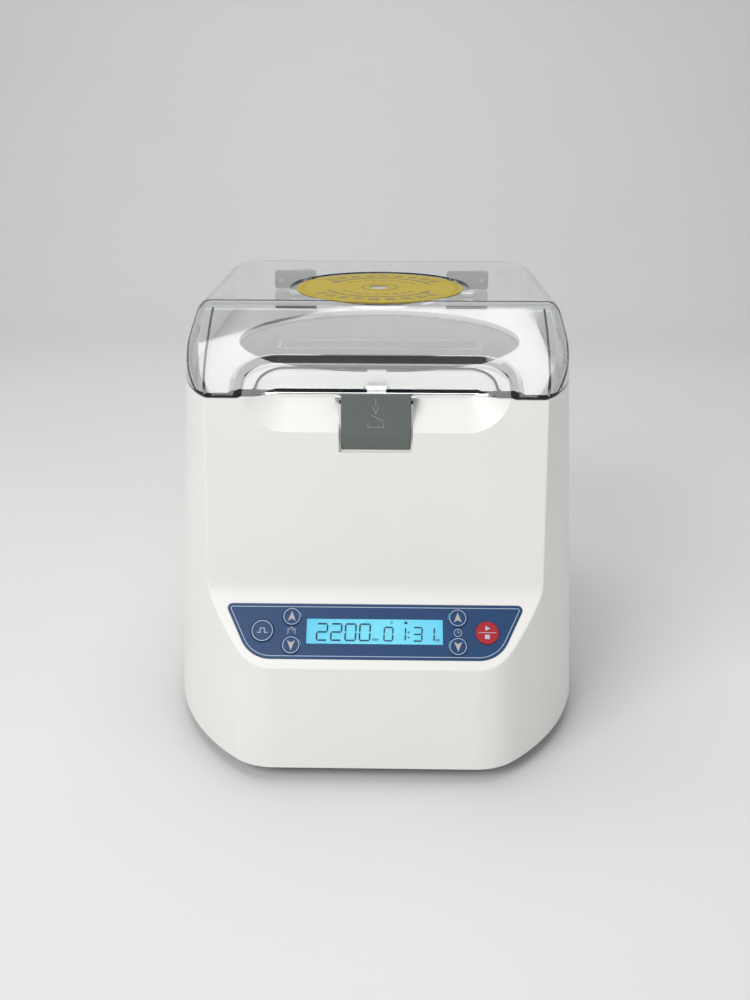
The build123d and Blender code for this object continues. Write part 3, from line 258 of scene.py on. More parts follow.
@dataclass(frozen=True)
class MouldedPlastic:
    """Opaque moulded plastic with a fine eroded grain and faint mottling."""

    name: str
    colour: Colour
    roughness: float = 0.42
    grain: float = 2600.0
    depth: float = 0.00006
    mottling: float = 0.035
    coat: float = 0.0

    def make(self) -> bpy.types.Material:
        """Builds the material."""
        tree = ShaderTree(self.name)
        broad = tree.noise(14.0, 3.0)
        fine = tree.noise(self.grain, 2.0)
        dim = tuple(c * (1 - 2 * self.mottling) for c in self.colour)
        tree.set(
            Base_Color=tree.blend(broad, self.colour, dim),
            Roughness=(self.roughness - 0.05 + 0.06 * broad + 0.05 * fine).clamp(),
            Coat_Weight=self.coat,
            Coat_Roughness=0.12,
        )
        tree.bump(fine, self.depth, 0.35)
        return tree.material


@dataclass(frozen=True)
class ClearPlastic:
    """Clear polished moulding with faint handling marks."""

    name: str
    tint: Colour = (0.975, 0.985, 0.988)
    roughness: float = 0.015

    def make(self) -> bpy.types.Material:
        """Builds the material."""
        tree = ShaderTree(self.name)
        marks = tree.noise(45.0, 4.0)
        smears = marks.above(0.62, 0.10)
        tree.set(
            Base_Color=self.tint,
            Roughness=(self.roughness + 0.05 * smears).clamp(),
            Transmission_Weight=1.0,
            IOR=1.49,
        )
        return tree.material


@dataclass(frozen=True)
class Metal:
    """Turned, rolled or plated metal."""

    name: str
    colour: Colour
    roughness: float = 0.32
    brushed: tuple[float, float, float] = (60.0, 60.0, 2400.0)

    def make(self) -> bpy.types.Material:
        """Builds the material."""
        tree = ShaderTree(self.name)
        stretched = tree.add(
            "ShaderNodeMapping", None, {"Vector": tree.place(), "Scale": self.brushed}
        ).outputs[0]
        grain = tree.noise(1.0, 3.0, stretched)
        dim = tuple(c * 0.82 for c in self.colour)
        tree.set(
            Base_Color=tree.blend(grain, dim, self.colour),
            Metallic=1.0,
            Roughness=(self.roughness - 0.08 + 0.16 * grain).clamp(),
        )
        tree.bump(grain, 0.00002, 0.4)
        return tree.material


@dataclass(frozen=True)
class Rubber:
    """Soft moulded rubber with dust in its pores."""

    name: str
    colour: Colour = (0.018, 0.018, 0.02)

    def make(self) -> bpy.types.Material:
        """Builds the material."""
        tree = ShaderTree(self.name)
        pores = tree.noise(1800.0, 2.0)
        dust = tree.noise(40.0, 4.0).above(0.6, 0.15)
        tree.set(
            Base_Color=tree.blend(dust * 0.25, self.colour, (0.12, 0.12, 0.115)),
            Roughness=(0.72 + 0.15 * pores).clamp(),
        )
        tree.bump(pores, 0.00008, 0.5)
        return tree.material


@dataclass(frozen=True)
class PrintedFilm:
    """Polyester film printed on its back, slightly textured in front."""

    name: str
    colour: Colour
    edge: Colour
    roughness: float = 0.3
    coat: float = 0.25

    def make(self) -> bpy.types.Material:
        """Builds the material."""
        tree = ShaderTree(self.name)
        clouds = tree.noise(30.0, 3.0)
        weave = tree.noise(5200.0, 1.0)
        tree.set(
            Base_Color=tree.blend(clouds * 0.5, self.colour, self.edge),
            Roughness=(self.roughness - 0.04 + 0.1 * weave).clamp(),
            Coat_Weight=self.coat,
            Coat_Roughness=0.1,
        )
        tree.bump(weave, 0.00003, 0.3)
        return tree.material


@dataclass(frozen=True)
class LitPanel:
    """Backlit display glass, brighter towards its middle."""

    name: str
    middle: Colour
    rim: Colour
    half_length: float
    strength: float

    def make(self) -> bpy.types.Material:
        """Builds the material."""
        tree = ShaderTree(self.name)
        split = tree.add("ShaderNodeSeparateXYZ", None, {0: tree.place()})
        across = Value(tree, split.outputs[0]) / self.half_length
        fade = (across * across).clamp()
        glow = tree.blend(fade * 0.8, self.middle, self.rim)
        fine = tree.noise(3000.0, 1.0)
        tree.set(
            Base_Color=tree.blend(fade * 0.5, (0.10, 0.30, 0.36), (0.08, 0.25, 0.33)),
            Emission_Color=glow,
            Emission_Strength=self.strength,
            Roughness=(0.12 + 0.06 * fine).clamp(),
        )
        return tree.material


@dataclass(frozen=True)
class CircuitLacquer:
    """Green lacquered board with a hint of tracks under the lacquer."""

    name: str
    colour: Colour = (0.012, 0.10, 0.04)

    def make(self) -> bpy.types.Material:
        """Builds the material."""
        tree = ShaderTree(self.name)
        cells = tree.add(
            "ShaderNodeTexVoronoi",
            {"distance": "MANHATTAN"},
            {"Vector": tree.place(), "Scale": 180.0},
        )
        tracks = Value(tree, cells.outputs[0]).above(0.35, 0.05)
        tree.set(
            Base_Color=tree.blend(tracks * 0.6, self.colour, (0.03, 0.18, 0.07)),
            Roughness=(0.25 + 0.1 * tracks).clamp(),
        )
        tree.bump(tracks, 0.00004, 0.5)
        return tree.material


# ---------------------------------------------------------------------------------------------
# Mesh building
# ---------------------------------------------------------------------------------------------


@dataclass(frozen=True)
class Sheet:
    """A flat place to print on: an origin with directions across, up and out."""

    origin: Vector
    across: Vector
    up: Vector
    out: Vector

    def at(self, point: Point2, height: float) -> Vector:
        """A point of the sheet in the object's frame.

        Args:
            point: place across and up, in metres.
            height: how far in front of the sheet.

        Returns:
            The point.
        """
        return self.origin + self.across * point[0] + self.up * point[1] + self.out * height


class Print:
    """Thin closed prisms drawn on a sheet and made into one mesh piece."""

    def __init__(self, sheet: Sheet, low: float, high: float) -> None:
        """Starts an empty print.

        Args:
            sheet: where it lies.
            low: height of its underside over the sheet.
            high: height of its top.
        """
        self.sheet = sheet
        self.low = low
        self.high = high
        self.mesh = bmesh.new()

    def patch(self, outline: Sequence[Point2]) -> None:
        """Adds a filled outline, convex or not.

        Args:
            outline: its corners in order, counter-clockwise.
        """
        bottom = [self.mesh.verts.new(self.sheet.at(p, self.low)) for p in outline]
        top = [self.mesh.verts.new(self.sheet.at(p, self.high)) for p in outline]
        self.mesh.faces.new(list(reversed(bottom)))
        self.mesh.faces.new(top)
        count = len(outline)
        for i in range(count):
            j = (i + 1) % count
            self.mesh.faces.new((bottom[i], bottom[j], top[j], top[i]))

    def band(self, inner: Sequence[Point2], outer: Sequence[Point2], closed: bool) -> None:
        """Adds a strip between two lines with the same number of points.

        Args:
            inner: the line on the left when walking along.
            outer: the line on the right.
            closed: whether the strip joins up with its own start.
        """
        rows = [
            [self.mesh.verts.new(self.sheet.at(p, h)) for p in line]
            for line, h in (
                (inner, self.low), (outer, self.low), (outer, self.high), (inner, self.high)
            )
        ]
        count = len(inner)
        last = count if closed else count - 1
        for i in range(last):
            j = (i + 1) % count
            for a in range(4):
                b = (a + 1) % 4
                self.mesh.faces.new((rows[a][i], rows[a][j], rows[b][j], rows[b][i]))
        if not closed:
            self.mesh.faces.new([rows[a][0] for a in range(4)])
            self.mesh.faces.new([rows[a][-1] for a in reversed(range(4))])

    def ring(
        self,
        centre: Point2,
        inner: float,
        outer: float,
        start: float = 0.0,
        turn: float = 360.0,
        steps: int = 64,
    ) -> None:
        """Adds a ring or part of one.

        Args:
            centre: its middle.
            inner: inner radius.
            outer: outer radius.
            start: first angle in degrees.
            turn: degrees it covers.
            steps: sides along it.
        """
        closed = turn >= 360.0
        count = steps if closed else steps + 1
        angles = [math.radians(start + turn * i / steps) for i in range(count)]
        lines = [
            [(centre[0] + r * math.cos(a), centre[1] + r * math.sin(a)) for a in angles]
            for r in (inner, outer)
        ]
        self.band(lines[0], lines[1], closed)

    def line(self, points: Sequence[Point2], width: float, closed: bool = False) -> None:
        """Adds a line of even width through points.

        Args:
            points: its corners in order.
            width: its width.
            closed: whether it joins up with its own start.
        """
        count = len(points)
        left: list[Point2] = []
        right: list[Point2] = []
        for i, point in enumerate(points):
            before = Vector(points[(i - 1) % count] if closed or i else point)
            after = Vector(points[(i + 1) % count] if closed or i < count - 1 else point)
            here = Vector(point)
            into = (here - before).normalized() if (here - before).length else None
            away = (after - here).normalized() if (after - here).length else None
            into = into or away
            away = away or into
            middle = (into + away).normalized()
            side = Vector((-middle.y, middle.x))
            reach = width / 2 / max(0.3, side.dot(Vector((-into.y, into.x))))
            left.append(tuple(here + side * reach))
            right.append(tuple(here - side * reach))
        self.band(left, right, closed)

    def finish(self, name: str, material: bpy.types.Material) -> bpy.types.Object:
        """Makes the piece.

        Args:
            name: the piece's name.
            material: its finish.

        Returns:
            The new object.
        """
        bmesh.ops.recalc_face_normals(self.mesh, faces=self.mesh.faces)
        return as_piece(self.mesh, name, material)


def as_piece(mesh: bmesh.types.BMesh, name: str, material: bpy.types.Material) -> bpy.types.Object:
    """Turns a bmesh into an object at the origin.

    Args:
        mesh: the built mesh, freed afterwards.
        name: name of object and mesh.
        material: its finish.

    Returns:
        The new object.
    """
    data = bpy.data.meshes.new(name)
    mesh.to_mesh(data)
    mesh.free()
    data.materials.append(material)
    piece = bpy.data.objects.new(name, data)
    bpy.context.scene.collection.objects.link(piece)
    return piece


def settle(piece: bpy.types.Object, body: Body) -> None:
    """Gives a piece its body, and reports it.

    Args:
        piece: the finished piece.
        body: the body it rides on.
    """
    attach(piece, body.value)
    log.info("%s rides on %s with %d faces", piece.name, body.value, len(piece.data.polygons))


def panel_sheet(node: str, slope: float) -> Sheet:
    """The sheet that lies on top of a node facing out of the control slope.

    Args:
        node: a CAD node whose highest face is parallel to the slope.
        slope: the slope's angle from level, in degrees.

    Returns:
        The sheet, centred on the node's top face.
    """
    tilt = math.radians(slope)
    out = Vector((0, -math.sin(tilt), math.cos(tilt)))
    up = Vector((0, math.cos(tilt), math.sin(tilt)))
    corners = [v.co for v in frame["nodes"][node].data.vertices]
    top = max(c.dot(out) for c in corners)
    face = [c for c in corners if top - c.dot(out) < 0.00003]
    low = Vector([min(c[i] for c in face) for i in range(3)])
    high = Vector([max(c[i] for c in face) for i in range(3)])
    return Sheet((low + high) / 2, Vector((1, 0, 0)), up, out)


def turned(points: Iterable[Point2], angle: float, centre: Point2 = (0.0, 0.0)) -> list[Point2]:
    """Points turned about the sheet's origin, then moved.

    Args:
        points: the points.
        angle: degrees, counter-clockwise.
        centre: how far they are moved.

    Returns:
        The new points.
    """
    c, s = math.cos(math.radians(angle)), math.sin(math.radians(angle))
    return [(centre[0] + x * c - y * s, centre[1] + x * s + y * c) for x, y in points]


# ---------------------------------------------------------------------------------------------
# Geometry Nodes
# ---------------------------------------------------------------------------------------------


@dataclass
class RingOfTicks:
    """Equal small blocks standing on a circle, each turned to face the middle."""

    name: str
    centre: Vector
    count: int
    radius: float
    size: tuple[float, float, float]

    def tree(self) -> bpy.types.NodeTree:
        """Builds the node tree with named inputs for its sizes."""
        tree = bpy.data.node_groups.new(self.name, "GeometryNodeTree")
        face = tree.interface
        for label, kind in (
            ("Count", "NodeSocketInt"),
            ("Radius", "NodeSocketFloat"),
            ("Centre", "NodeSocketVector"),
            ("Block", "NodeSocketVector"),
            ("Finish", "NodeSocketMaterial"),
        ):
            face.new_socket(label, in_out="INPUT", socket_type=kind)
        face.new_socket("Geometry", in_out="OUTPUT", socket_type="NodeSocketGeometry")
        entry = tree.nodes.new("NodeGroupInput")
        leave = tree.nodes.new("NodeGroupOutput")
        circle = tree.nodes.new("GeometryNodeMeshCircle")
        block = tree.nodes.new("GeometryNodeMeshCube")
        place = tree.nodes.new("GeometryNodeInputPosition")
        turn = tree.nodes.new("FunctionNodeAlignRotationToVector")
        turn.axis = "X"
        stand = tree.nodes.new("GeometryNodeInstanceOnPoints")
        move = tree.nodes.new("GeometryNodeTransform")
        real = tree.nodes.new("GeometryNodeRealizeInstances")
        paint = tree.nodes.new("GeometryNodeSetMaterial")
        link = tree.links.new
        link(entry.outputs["Count"], circle.inputs["Vertices"])
        link(entry.outputs["Radius"], circle.inputs["Radius"])
        link(entry.outputs["Block"], block.inputs["Size"])
        link(place.outputs[0], turn.inputs["Vector"])
        link(circle.outputs[0], stand.inputs["Points"])
        link(block.outputs[0], stand.inputs["Instance"])
        link(turn.outputs[0], stand.inputs["Rotation"])
        link(stand.outputs[0], move.inputs["Geometry"])
        link(entry.outputs["Centre"], move.inputs["Translation"])
        link(move.outputs[0], real.inputs[0])
        link(real.outputs[0], paint.inputs["Geometry"])
        link(entry.outputs["Finish"], paint.inputs["Material"])
        link(paint.outputs[0], leave.inputs[0])
        return tree

    def build(self, finish: bpy.types.Material) -> bpy.types.Object:
        """Runs the tree and keeps the result as a plain mesh.

        Args:
            finish: the blocks' finish.

        Returns:
            The new object.
        """
        tree = self.tree()
        holder = bpy.data.objects.new(self.name + "_maker", bpy.data.meshes.new(self.name))
        bpy.context.scene.collection.objects.link(holder)
        modifier = holder.modifiers.new("ticks", "NODES")
        modifier.node_group = tree
        given = {
            "Count": self.count,
            "Radius": self.radius,
            "Centre": self.centre,
            "Block": self.size,
            "Finish": finish,
        }
        for item in tree.interface.items_tree:
            if item.in_out == "INPUT":
                modifier[item.identifier] = given[item.name]
        graph = bpy.context.evaluated_depsgraph_get()
        data = bpy.data.meshes.new_from_object(holder.evaluated_get(graph), depsgraph=graph)
        data.name = self.name
        bpy.data.objects.remove(holder)
        piece = bpy.data.objects.new(self.name, data)
        bpy.context.scene.collection.objects.link(piece)
        return piece


# ---------------------------------------------------------------------------------------------
# Sub-assemblies
# ---------------------------------------------------------------------------------------------


@dataclass
class ControlPanel:
    """Everything printed on the keypad film, its keys and the lit display."""

    slope: float = 47.2
    line_inset: float = 0.0016
    line_width: float = 0.00035
    digit_height: float = 0.0088
    digit_width: float = 0.0054
    stroke: float = 0.00085
    digit_slant: float = 0.04
    key_ring: float = 0.00035
    arrow_reach: float = 0.0029

    def outline(self) -> list[Point2]:
        """The film's outline seen from the front, with its rounded lower corners."""
        corners = (
            ((0.0794, 0.0348), 0.0025),
            ((-0.0794, 0.0348), 0.0025),
            ((-0.0650, 0.0052), 0.017),
            ((0.0650, 0.0052), 0.017),
        )
        middle = 0.0201
        points: list[Point2] = []
        count = len(corners)
        for i, (corner, radius) in enumerate(corners):
            here = Vector(corner)
            before = (Vector(corners[i - 1][0]) - here).normalized()
            after = (Vector(corners[(i + 1) % count][0]) - here).normalized()
            half = math.acos(before.dot(after)) / 2
            reach = radius / math.tan(half)
            centre = here + (before + after).normalized() * (radius / math.sin(half))
            first = here + before * reach - centre
            last = here + after * reach - centre
            steps = 10
            sweep = first.angle_signed(last)
            for k in range(steps + 1):
                a = -sweep * k / steps
                c, s = math.cos(a), math.sin(a)
                spot = centre + Vector((first.x * c - first.y * s, first.x * s + first.y * c))
                points.append((spot.x, spot.y - middle))
        return points

    def shrunk(self, outline: Sequence[Point2], inset: float) -> list[Point2]:
        """An outline taken in by an even amount.

        Args:
            outline: counter-clockwise corners.
            inset: how far in.

        Returns:
            The smaller outline.
        """
        count = len(outline)
        result: list[Point2] = []
        for i, point in enumerate(outline):
            tangent = (Vector(outline[(i + 1) % count]) - Vector(outline[i - 1])).normalized()
            inward = Vector((-tangent.y, tangent.x))
            result.append(tuple(Vector(point) + inward * inset))
        return result

    def frame_line(self, finish: bpy.types.Material) -> None:
        """Prints the thin pale line just inside the film's edge.

        Args:
            finish: the line's ink.
        """
        sheet = panel_sheet("display_window", self.slope)
        ink = Print(sheet, 0.00001, 0.00005)
        ink.line(self.shrunk(self.outline(), self.line_inset), self.line_width, closed=True)
        settle(ink.finish("panel_line", finish), Body.HOUSING)

    def segment(self, ink: Print, name: str, corner: Point2) -> None:
        """Prints one bar of a figure.

        Args:
            ink: the print.
            name: the bar's letter, a to g.
            corner: the figure's lower left corner.
        """
        w, h, t = self.digit_width, self.digit_height, self.stroke
        gap = t * 0.18
        flat = (((0, 0), (t * 0.5, t * 0.5), (w - t * 0.5, t * 0.5), (w, 0),
                 (w - t * 0.5, -t * 0.5), (t * 0.5, -t * 0.5)))
        rises = {"a": h, "g": h / 2, "d": 0.0}
        if name in rises:
            shape = [(min(max(x, gap), w - gap), y + rises[name]) for x, y in reversed(flat)]
        else:
            x0 = 0.0 if name in "ef" else w
            y0 = h / 2 if name in "bf" else 0.0
            tall = h / 2
            shape = [
                (x0 + t * 0.5, y0 + t * 0.5 + gap), (x0 + t * 0.5, y0 + tall - t * 0.5 - gap),
                (x0, y0 + tall - gap), (x0 - t * 0.5, y0 + tall - t * 0.5 - gap),
                (x0 - t * 0.5, y0 + t * 0.5 + gap), (x0, y0 + gap),
            ]
        ink.patch([(corner[0] + x + y * self.digit_slant, corner[1] + y) for x, y in shape])

    def figures(self, finish: bpy.types.Material) -> None:
        """Prints the lit speed and time figures.

        Args:
            finish: the figures' colour.
        """
        bars = {"0": "abcdef", "1": "bc", "2": "abged", "3": "abgcd"}
        ink = Print(panel_sheet("display_window", self.slope), 0.00001, 0.00006)
        base = -self.digit_height / 2 - 0.0004
        for figure, left in zip("2200", (-0.0305, -0.0230, -0.0155, -0.0080)):
            for name in bars[figure]:
                self.segment(ink, name, (left, base))
        small = ControlPanel(digit_height=0.0072, digit_width=0.0045, stroke=0.00075)
        for figure, left in zip("0131", (0.0049, 0.0115, 0.0202, 0.0266)):
            for name in bars[figure]:
                small.segment(ink, name, (left, base))
        for rise in (0.0018, 0.0046):
            ink.ring((0.0178, base + rise), 0.0001, 0.0005, steps=12)
        for left, count in ((-0.0011, 3), (0.0322, 2)):
            for i in range(count):
                x = left + i * 0.0011
                ink.patch([(x, base), (x + 0.0006, base), (x + 0.0006, base + 0.0012),
                           (x, base + 0.0012)])
        ink.ring((0.0090, 0.0050), 0.0004, 0.0007, 20, 300, 16)
        ink.patch([(0.0156, 0.0042), (0.0172, 0.0042), (0.0172, 0.0053), (0.0156, 0.0053)])
        ink.ring((0.0164, 0.0053), 0.0004, 0.0006, 0, 180, 10)
        settle(ink.finish("display_figures", finish), Body.HOUSING)

    def keys(self, pale: bpy.types.Material, arrow: bpy.types.Material) -> None:
        """Prints a ring on every key and the sign inside it.

        Args:
            pale: ink of the rings.
            arrow: ink of the arrowheads.
        """
        arrowhead = [(0.0, 1.0), (-0.72, -0.86), (0.0, -0.42), (0.72, -0.86)]
        for node, angle in (
            ("speed_up_key", 0.0), ("speed_down_key", 180.0),
            ("timer_up_key", 0.0), ("timer_down_key", 180.0),
        ):
            sheet = panel_sheet(node, self.slope)
            reach = self.arrow_reach
            ink = Print(sheet, 0.00001, 0.00006)
            for half in ((0, 1, 2), (0, 2, 3)):
                points = [(arrowhead[k][0] * reach, arrowhead[k][1] * reach) for k in half]
                ink.patch(turned(points, angle))
            self.settle_on_key(ink.finish(node + "_arrow", arrow), node)
            rim = Print(sheet, 0.00001, 0.00005)
            rim.ring((0.0, 0.0), 0.0041, 0.0041 + self.key_ring)
            self.settle_on_key(rim.finish(node + "_ring", pale), node)
        sheet = panel_sheet("short_key", self.slope)
        rim = Print(sheet, 0.00001, 0.00005)
        rim.ring((0.0, 0.0), 0.0052, 0.0052 + self.key_ring)
        self.settle_on_key(rim.finish("short_key_ring", pale), "short_key")
        sign = Print(sheet, 0.00001, 0.00005)
        pulse = [(-0.0028, -0.0010), (-0.0011, -0.0010), (-0.0011, 0.0013), (0.0011, 0.0013),
                 (0.0011, -0.0010), (0.0028, -0.0010)]
        sign.line(pulse, 0.0004)
        self.settle_on_key(sign.finish("short_key_sign", pale), "short_key")
        sheet = panel_sheet("start_stop_key", self.slope)
        sign = Print(sheet, 0.00001, 0.00005)
        sign.line([(-0.0046, 0.0), (0.0046, 0.0)], 0.0003)
        sign.patch([(-0.0009, 0.0010), (0.0017, 0.0023), (-0.0009, 0.0036)])
        sign.patch([(-0.0012, -0.0034), (0.0012, -0.0034), (0.0012, -0.0011), (-0.0012, -0.0011)])
        self.settle_on_key(sign.finish("start_stop_sign", pale), "start_stop_key")

    def settle_on_key(self, piece: bpy.types.Object, key: str) -> None:
        """Makes a print move with its key.

        Args:
            piece: the print.
            key: the key's CAD node.
        """
        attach(piece, key + "_body")
        log.info("%s rides on %s", piece.name, key)

    def captions(self, finish: bpy.types.Material) -> None:
        """Prints a dial sign between the speed keys and a clock sign between the timer keys.

        Args:
            finish: the signs' ink.
        """
        ink = Print(panel_sheet("display_window", self.slope), 0.00001, 0.00005)
        dial = (-0.0437, -0.0002)
        ink.ring(dial, 0.0017, 0.0020, -30, 240, 24)
        ink.line([(dial[0], dial[1]), (dial[0] + 0.0010, dial[1] + 0.0011)], 0.0003)
        for angle in (-30, 30, 90, 150, 210):
            a = math.radians(angle)
            spoke = [
                (dial[0] + r * math.cos(a), dial[1] + r * math.sin(a))
                for r in (0.0022, 0.0027)
            ]
            ink.line(spoke, 0.0003)
        clock = (0.0437, -0.0002)
        ink.ring(clock, 0.0018, 0.0021)
        ink.line([(clock[0], clock[1] + 0.0013), clock, (clock[0] + 0.0009, clock[1])], 0.0003)
        settle(ink.finish("panel_signs", finish), Body.HOUSING)


@dataclass
class LidDisc:
    """The round printed disc on top of the lid, with generic direction arrows."""

    tick_count: int = 72
    tick_radius: float = 0.0475
    tick_size: tuple[float, float, float] = (0.0022, 0.00035, 0.00006)
    arrow_radius: float = 0.0330
    arrow_width: float = 0.0016
    ring_radius: float = 0.0105

    def sheet(self) -> Sheet:
        """The disc's top face."""
        low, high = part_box("lid_label")
        centre = (low + high) / 2
        return Sheet(
            Vector((centre.x, centre.y, high.z)), Vector((1, 0, 0)), Vector((0, 1, 0)),
            Vector((0, 0, 1)),
        )

    def build(self, finish: bpy.types.Material) -> None:
        """Prints the tick ring, two curved arrows and a ring round the hole.

        Args:
            finish: the black ink.
        """
        sheet = self.sheet()
        ticks = RingOfTicks(
            "disc_ticks", sheet.origin + Vector((0, 0, self.tick_size[2] / 2)),
            self.tick_count, self.tick_radius, self.tick_size,
        ).build(finish)
        settle(ticks, Body.LID)
        ink = Print(sheet, 0.0, 0.00006)
        for start in (20.0, 200.0):
            r, w = self.arrow_radius, self.arrow_width
            ink.ring((0, 0), r - w / 2, r + w / 2, start, 125.0, 48)
            a = math.radians(start + 125.0)
            tip = (r * math.cos(a), r * math.sin(a))
            head = [(-0.0030, 0.0), (0.0030, 0.0), (0.0, 0.0060)]
            ink.patch(turned(head, start + 125.0, tip))
            for radius, width in ((0.0425, 0.0015), (0.0390, 0.0015), (0.0245, 0.0012)):
                for k in range(9):
                    ink.ring((0, 0), radius - width / 2, radius + width / 2,
                             start + 8 + k * 13.5, 8.5, 6)
        ink.ring((0, 0), self.ring_radius, self.ring_radius + 0.0007)
        settle(ink.finish("disc_arrows", finish), Body.LID)


@dataclass
class LatchSigns:
    """The raised arrow and open-lid sign on the latch button."""

    top_drop: float = 0.0062
    stroke: float = 0.0005

    def sheet(self) -> Sheet:
        """The upper face, from the middle of the button's top edge."""
        low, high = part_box("latch_button")
        corners = [v.co for v in frame["nodes"]["latch_button"].data.vertices]
        front = [c for c in corners if c.z > high.z - 0.022]
        upper = min((c for c in front if c.z > high.z - 0.004), key=lambda c: c.y)
        lower = min((c for c in front if c.z < high.z - 0.018), key=lambda c: c.y)
        up = Vector((0, upper.y - lower.y, upper.z - lower.z)).normalized()
        out = Vector((0, -up.z, up.y))
        return Sheet(
            Vector(((low.x + high.x) / 2, upper.y, upper.z)), Vector((1, 0, 0)), up, out
        )

    def build(self, finish: bpy.types.Material) -> None:
        """Raises the signs on the upper face.

        Args:
            finish: the signs' finish.
        """
        ink = Print(self.sheet(), -0.00005, 0.00022)
        y = -self.top_drop
        ink.line([(0.0, y + 0.0045), (0.0, y)], self.stroke)
        ink.line([(-0.0015, y + 0.0005), (0.0, y - 0.0035), (0.0015, y + 0.0005)], self.stroke)
        base = y - 0.0105
        ink.line([(-0.0040, base + 0.0025), (-0.0040, base), (0.0040, base),
                  (0.0040, base + 0.0025)], self.stroke)
        ink.line([(0.0040, base + 0.0032), (-0.0022, base + 0.0062)], self.stroke)
        settle(ink.finish("latch_signs", finish), Body.LATCH)


@dataclass
class LatchSurround:
    """The pale step of the casing that closes the gap round the latch button."""

    half_width: float = 0.01845
    drop: float = 0.0292
    width: float = 0.0011
    low: float = -0.0042
    high: float = -0.0024
    top: float = -0.0055

    def build(self, sheet: Sheet, finish: bpy.types.Material) -> None:
        """Lines the slot's sides and lower edge.

        Args:
            sheet: the upper front face, from the button's top edge.
            finish: the casing's finish.
        """
        step = Print(sheet, self.low, self.high)
        w, d = self.half_width, self.drop
        step.line([(-w, self.top), (-w, -d), (w, -d), (w, self.top)], self.width)
        settle(step.finish("latch_surround", finish), Body.HOUSING)


@dataclass
class LidPaintedRefractionLines:
    """Painted dark lines inside the lid's walls: painted refraction shade where a corner of the
    clear moulding is seen end on.

    Each point of a line is its place across and its distance behind the casing's foremost line.
    """

    thickness: float = 0.0006
    slope: float = 20.6
    front: float = -0.1059
    lip_height: float = 0.2019
    depth: float = 0.0013
    pocket: float = 0.0026
    foremost: float = -0.149
    arch_centre: Point2 = (0.0480, 0.0575)
    arch_radius: float = 0.0140
    arch_step: int = 10
    arch_foot: Sequence[Point2] = ((0.0690, 0.0465), (0.0655, 0.0500), (0.0625, 0.0545))
    corner: Sequence[Point2] = (
        (0.0872, 0.0455),
        (0.0886, 0.054),
        (0.0902, 0.064),
        (0.0913, 0.076),
        (0.0921, 0.088),
        (0.0928, 0.100),
        (0.0934, 0.112),
        (0.0937, 0.122),
    )

    def surface(self, x: float, back: float, sunk: float) -> Vector:
        """A point in the sloping wall.

        Args:
            x: place across.
            back: distance behind the casing's foremost line.
            sunk: how far under the outer surface.

        Returns:
            The point.
        """
        y = self.foremost + back
        tilt = math.radians(self.slope)
        z = self.lip_height + (y - self.front) * math.tan(tilt) - sunk / math.cos(tilt)
        return Vector((x, y, z))

    def rod(self, mesh: bmesh.types.BMesh, path: Sequence[Vector]) -> None:
        """Adds a slim four-sided rod along a path.

        Args:
            mesh: the mesh it goes into.
            path: its points.
        """
        rings = []
        for i, point in enumerate(path):
            along = (path[min(i + 1, len(path) - 1)] - path[max(i - 1, 0)]).normalized()
            side = along.cross(Vector((0, 0, 1))).normalized()
            above = side.cross(along)
            t = self.thickness
            rings.append([
                mesh.verts.new(point + side * a * t + above * b * t)
                for a, b in ((-1, -1), (1, -1), (1, 1), (-1, 1))
            ])
        for first, second in zip(rings, rings[1:]):
            for k in range(4):
                mesh.faces.new((first[k], first[(k + 1) % 4], second[(k + 1) % 4], second[k]))
        mesh.faces.new(list(reversed(rings[0])))
        mesh.faces.new(rings[-1])

    def build(self, finish: bpy.types.Material) -> None:
        """Runs a painted refraction line down each front corner and one round the pocket's arch.

        Args:
            finish: the dark colour of the painted refraction lines.
        """
        mesh = bmesh.new()
        for side in (-1, 1):
            self.rod(mesh, [self.surface(side * x, back, self.depth) for x, back in self.corner])
        centre, radius = self.arch_centre, self.arch_radius
        arch = [*self.arch_foot]
        arch += [
            (centre[0] + radius * math.cos(a), centre[1] + radius * math.sin(a))
            for a in (math.radians(self.arch_step * k) for k in range(1, 90 // self.arch_step + 1))
        ]
        points = arch + [(-x, back) for x, back in reversed(arch)]
        # painted refraction shade round the pocket's arch, sunk to the pocket's depth
        self.rod(mesh, [self.surface(x, back, self.depth + self.pocket) for x, back in points])
        bmesh.ops.recalc_face_normals(mesh, faces=mesh.faces)
        settle(as_piece(mesh, "lid_painted_refraction_lines", finish), Body.LID)


@dataclass
class RotorGrip:
    """The grip ribs round the rotor nut."""

    rib_count: int = 24
    rib_proud: float = 0.0004

    def build(self, finish: bpy.types.Material) -> None:
        """Stands the ribs round the nut.

        Args:
            finish: the nut's finish.
        """
        low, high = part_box("rotor_nut")
        centre = (low + high) / 2
        radius = min(high.x - low.x, high.y - low.y) / 2 * 0.93
        size = (self.rib_proud * 4, 0.0010, (high.z - low.z) * 0.7)
        ribs = RingOfTicks("nut_ribs", centre, self.rib_count, radius, size).build(finish)
        settle(ribs, Body.ROTOR)


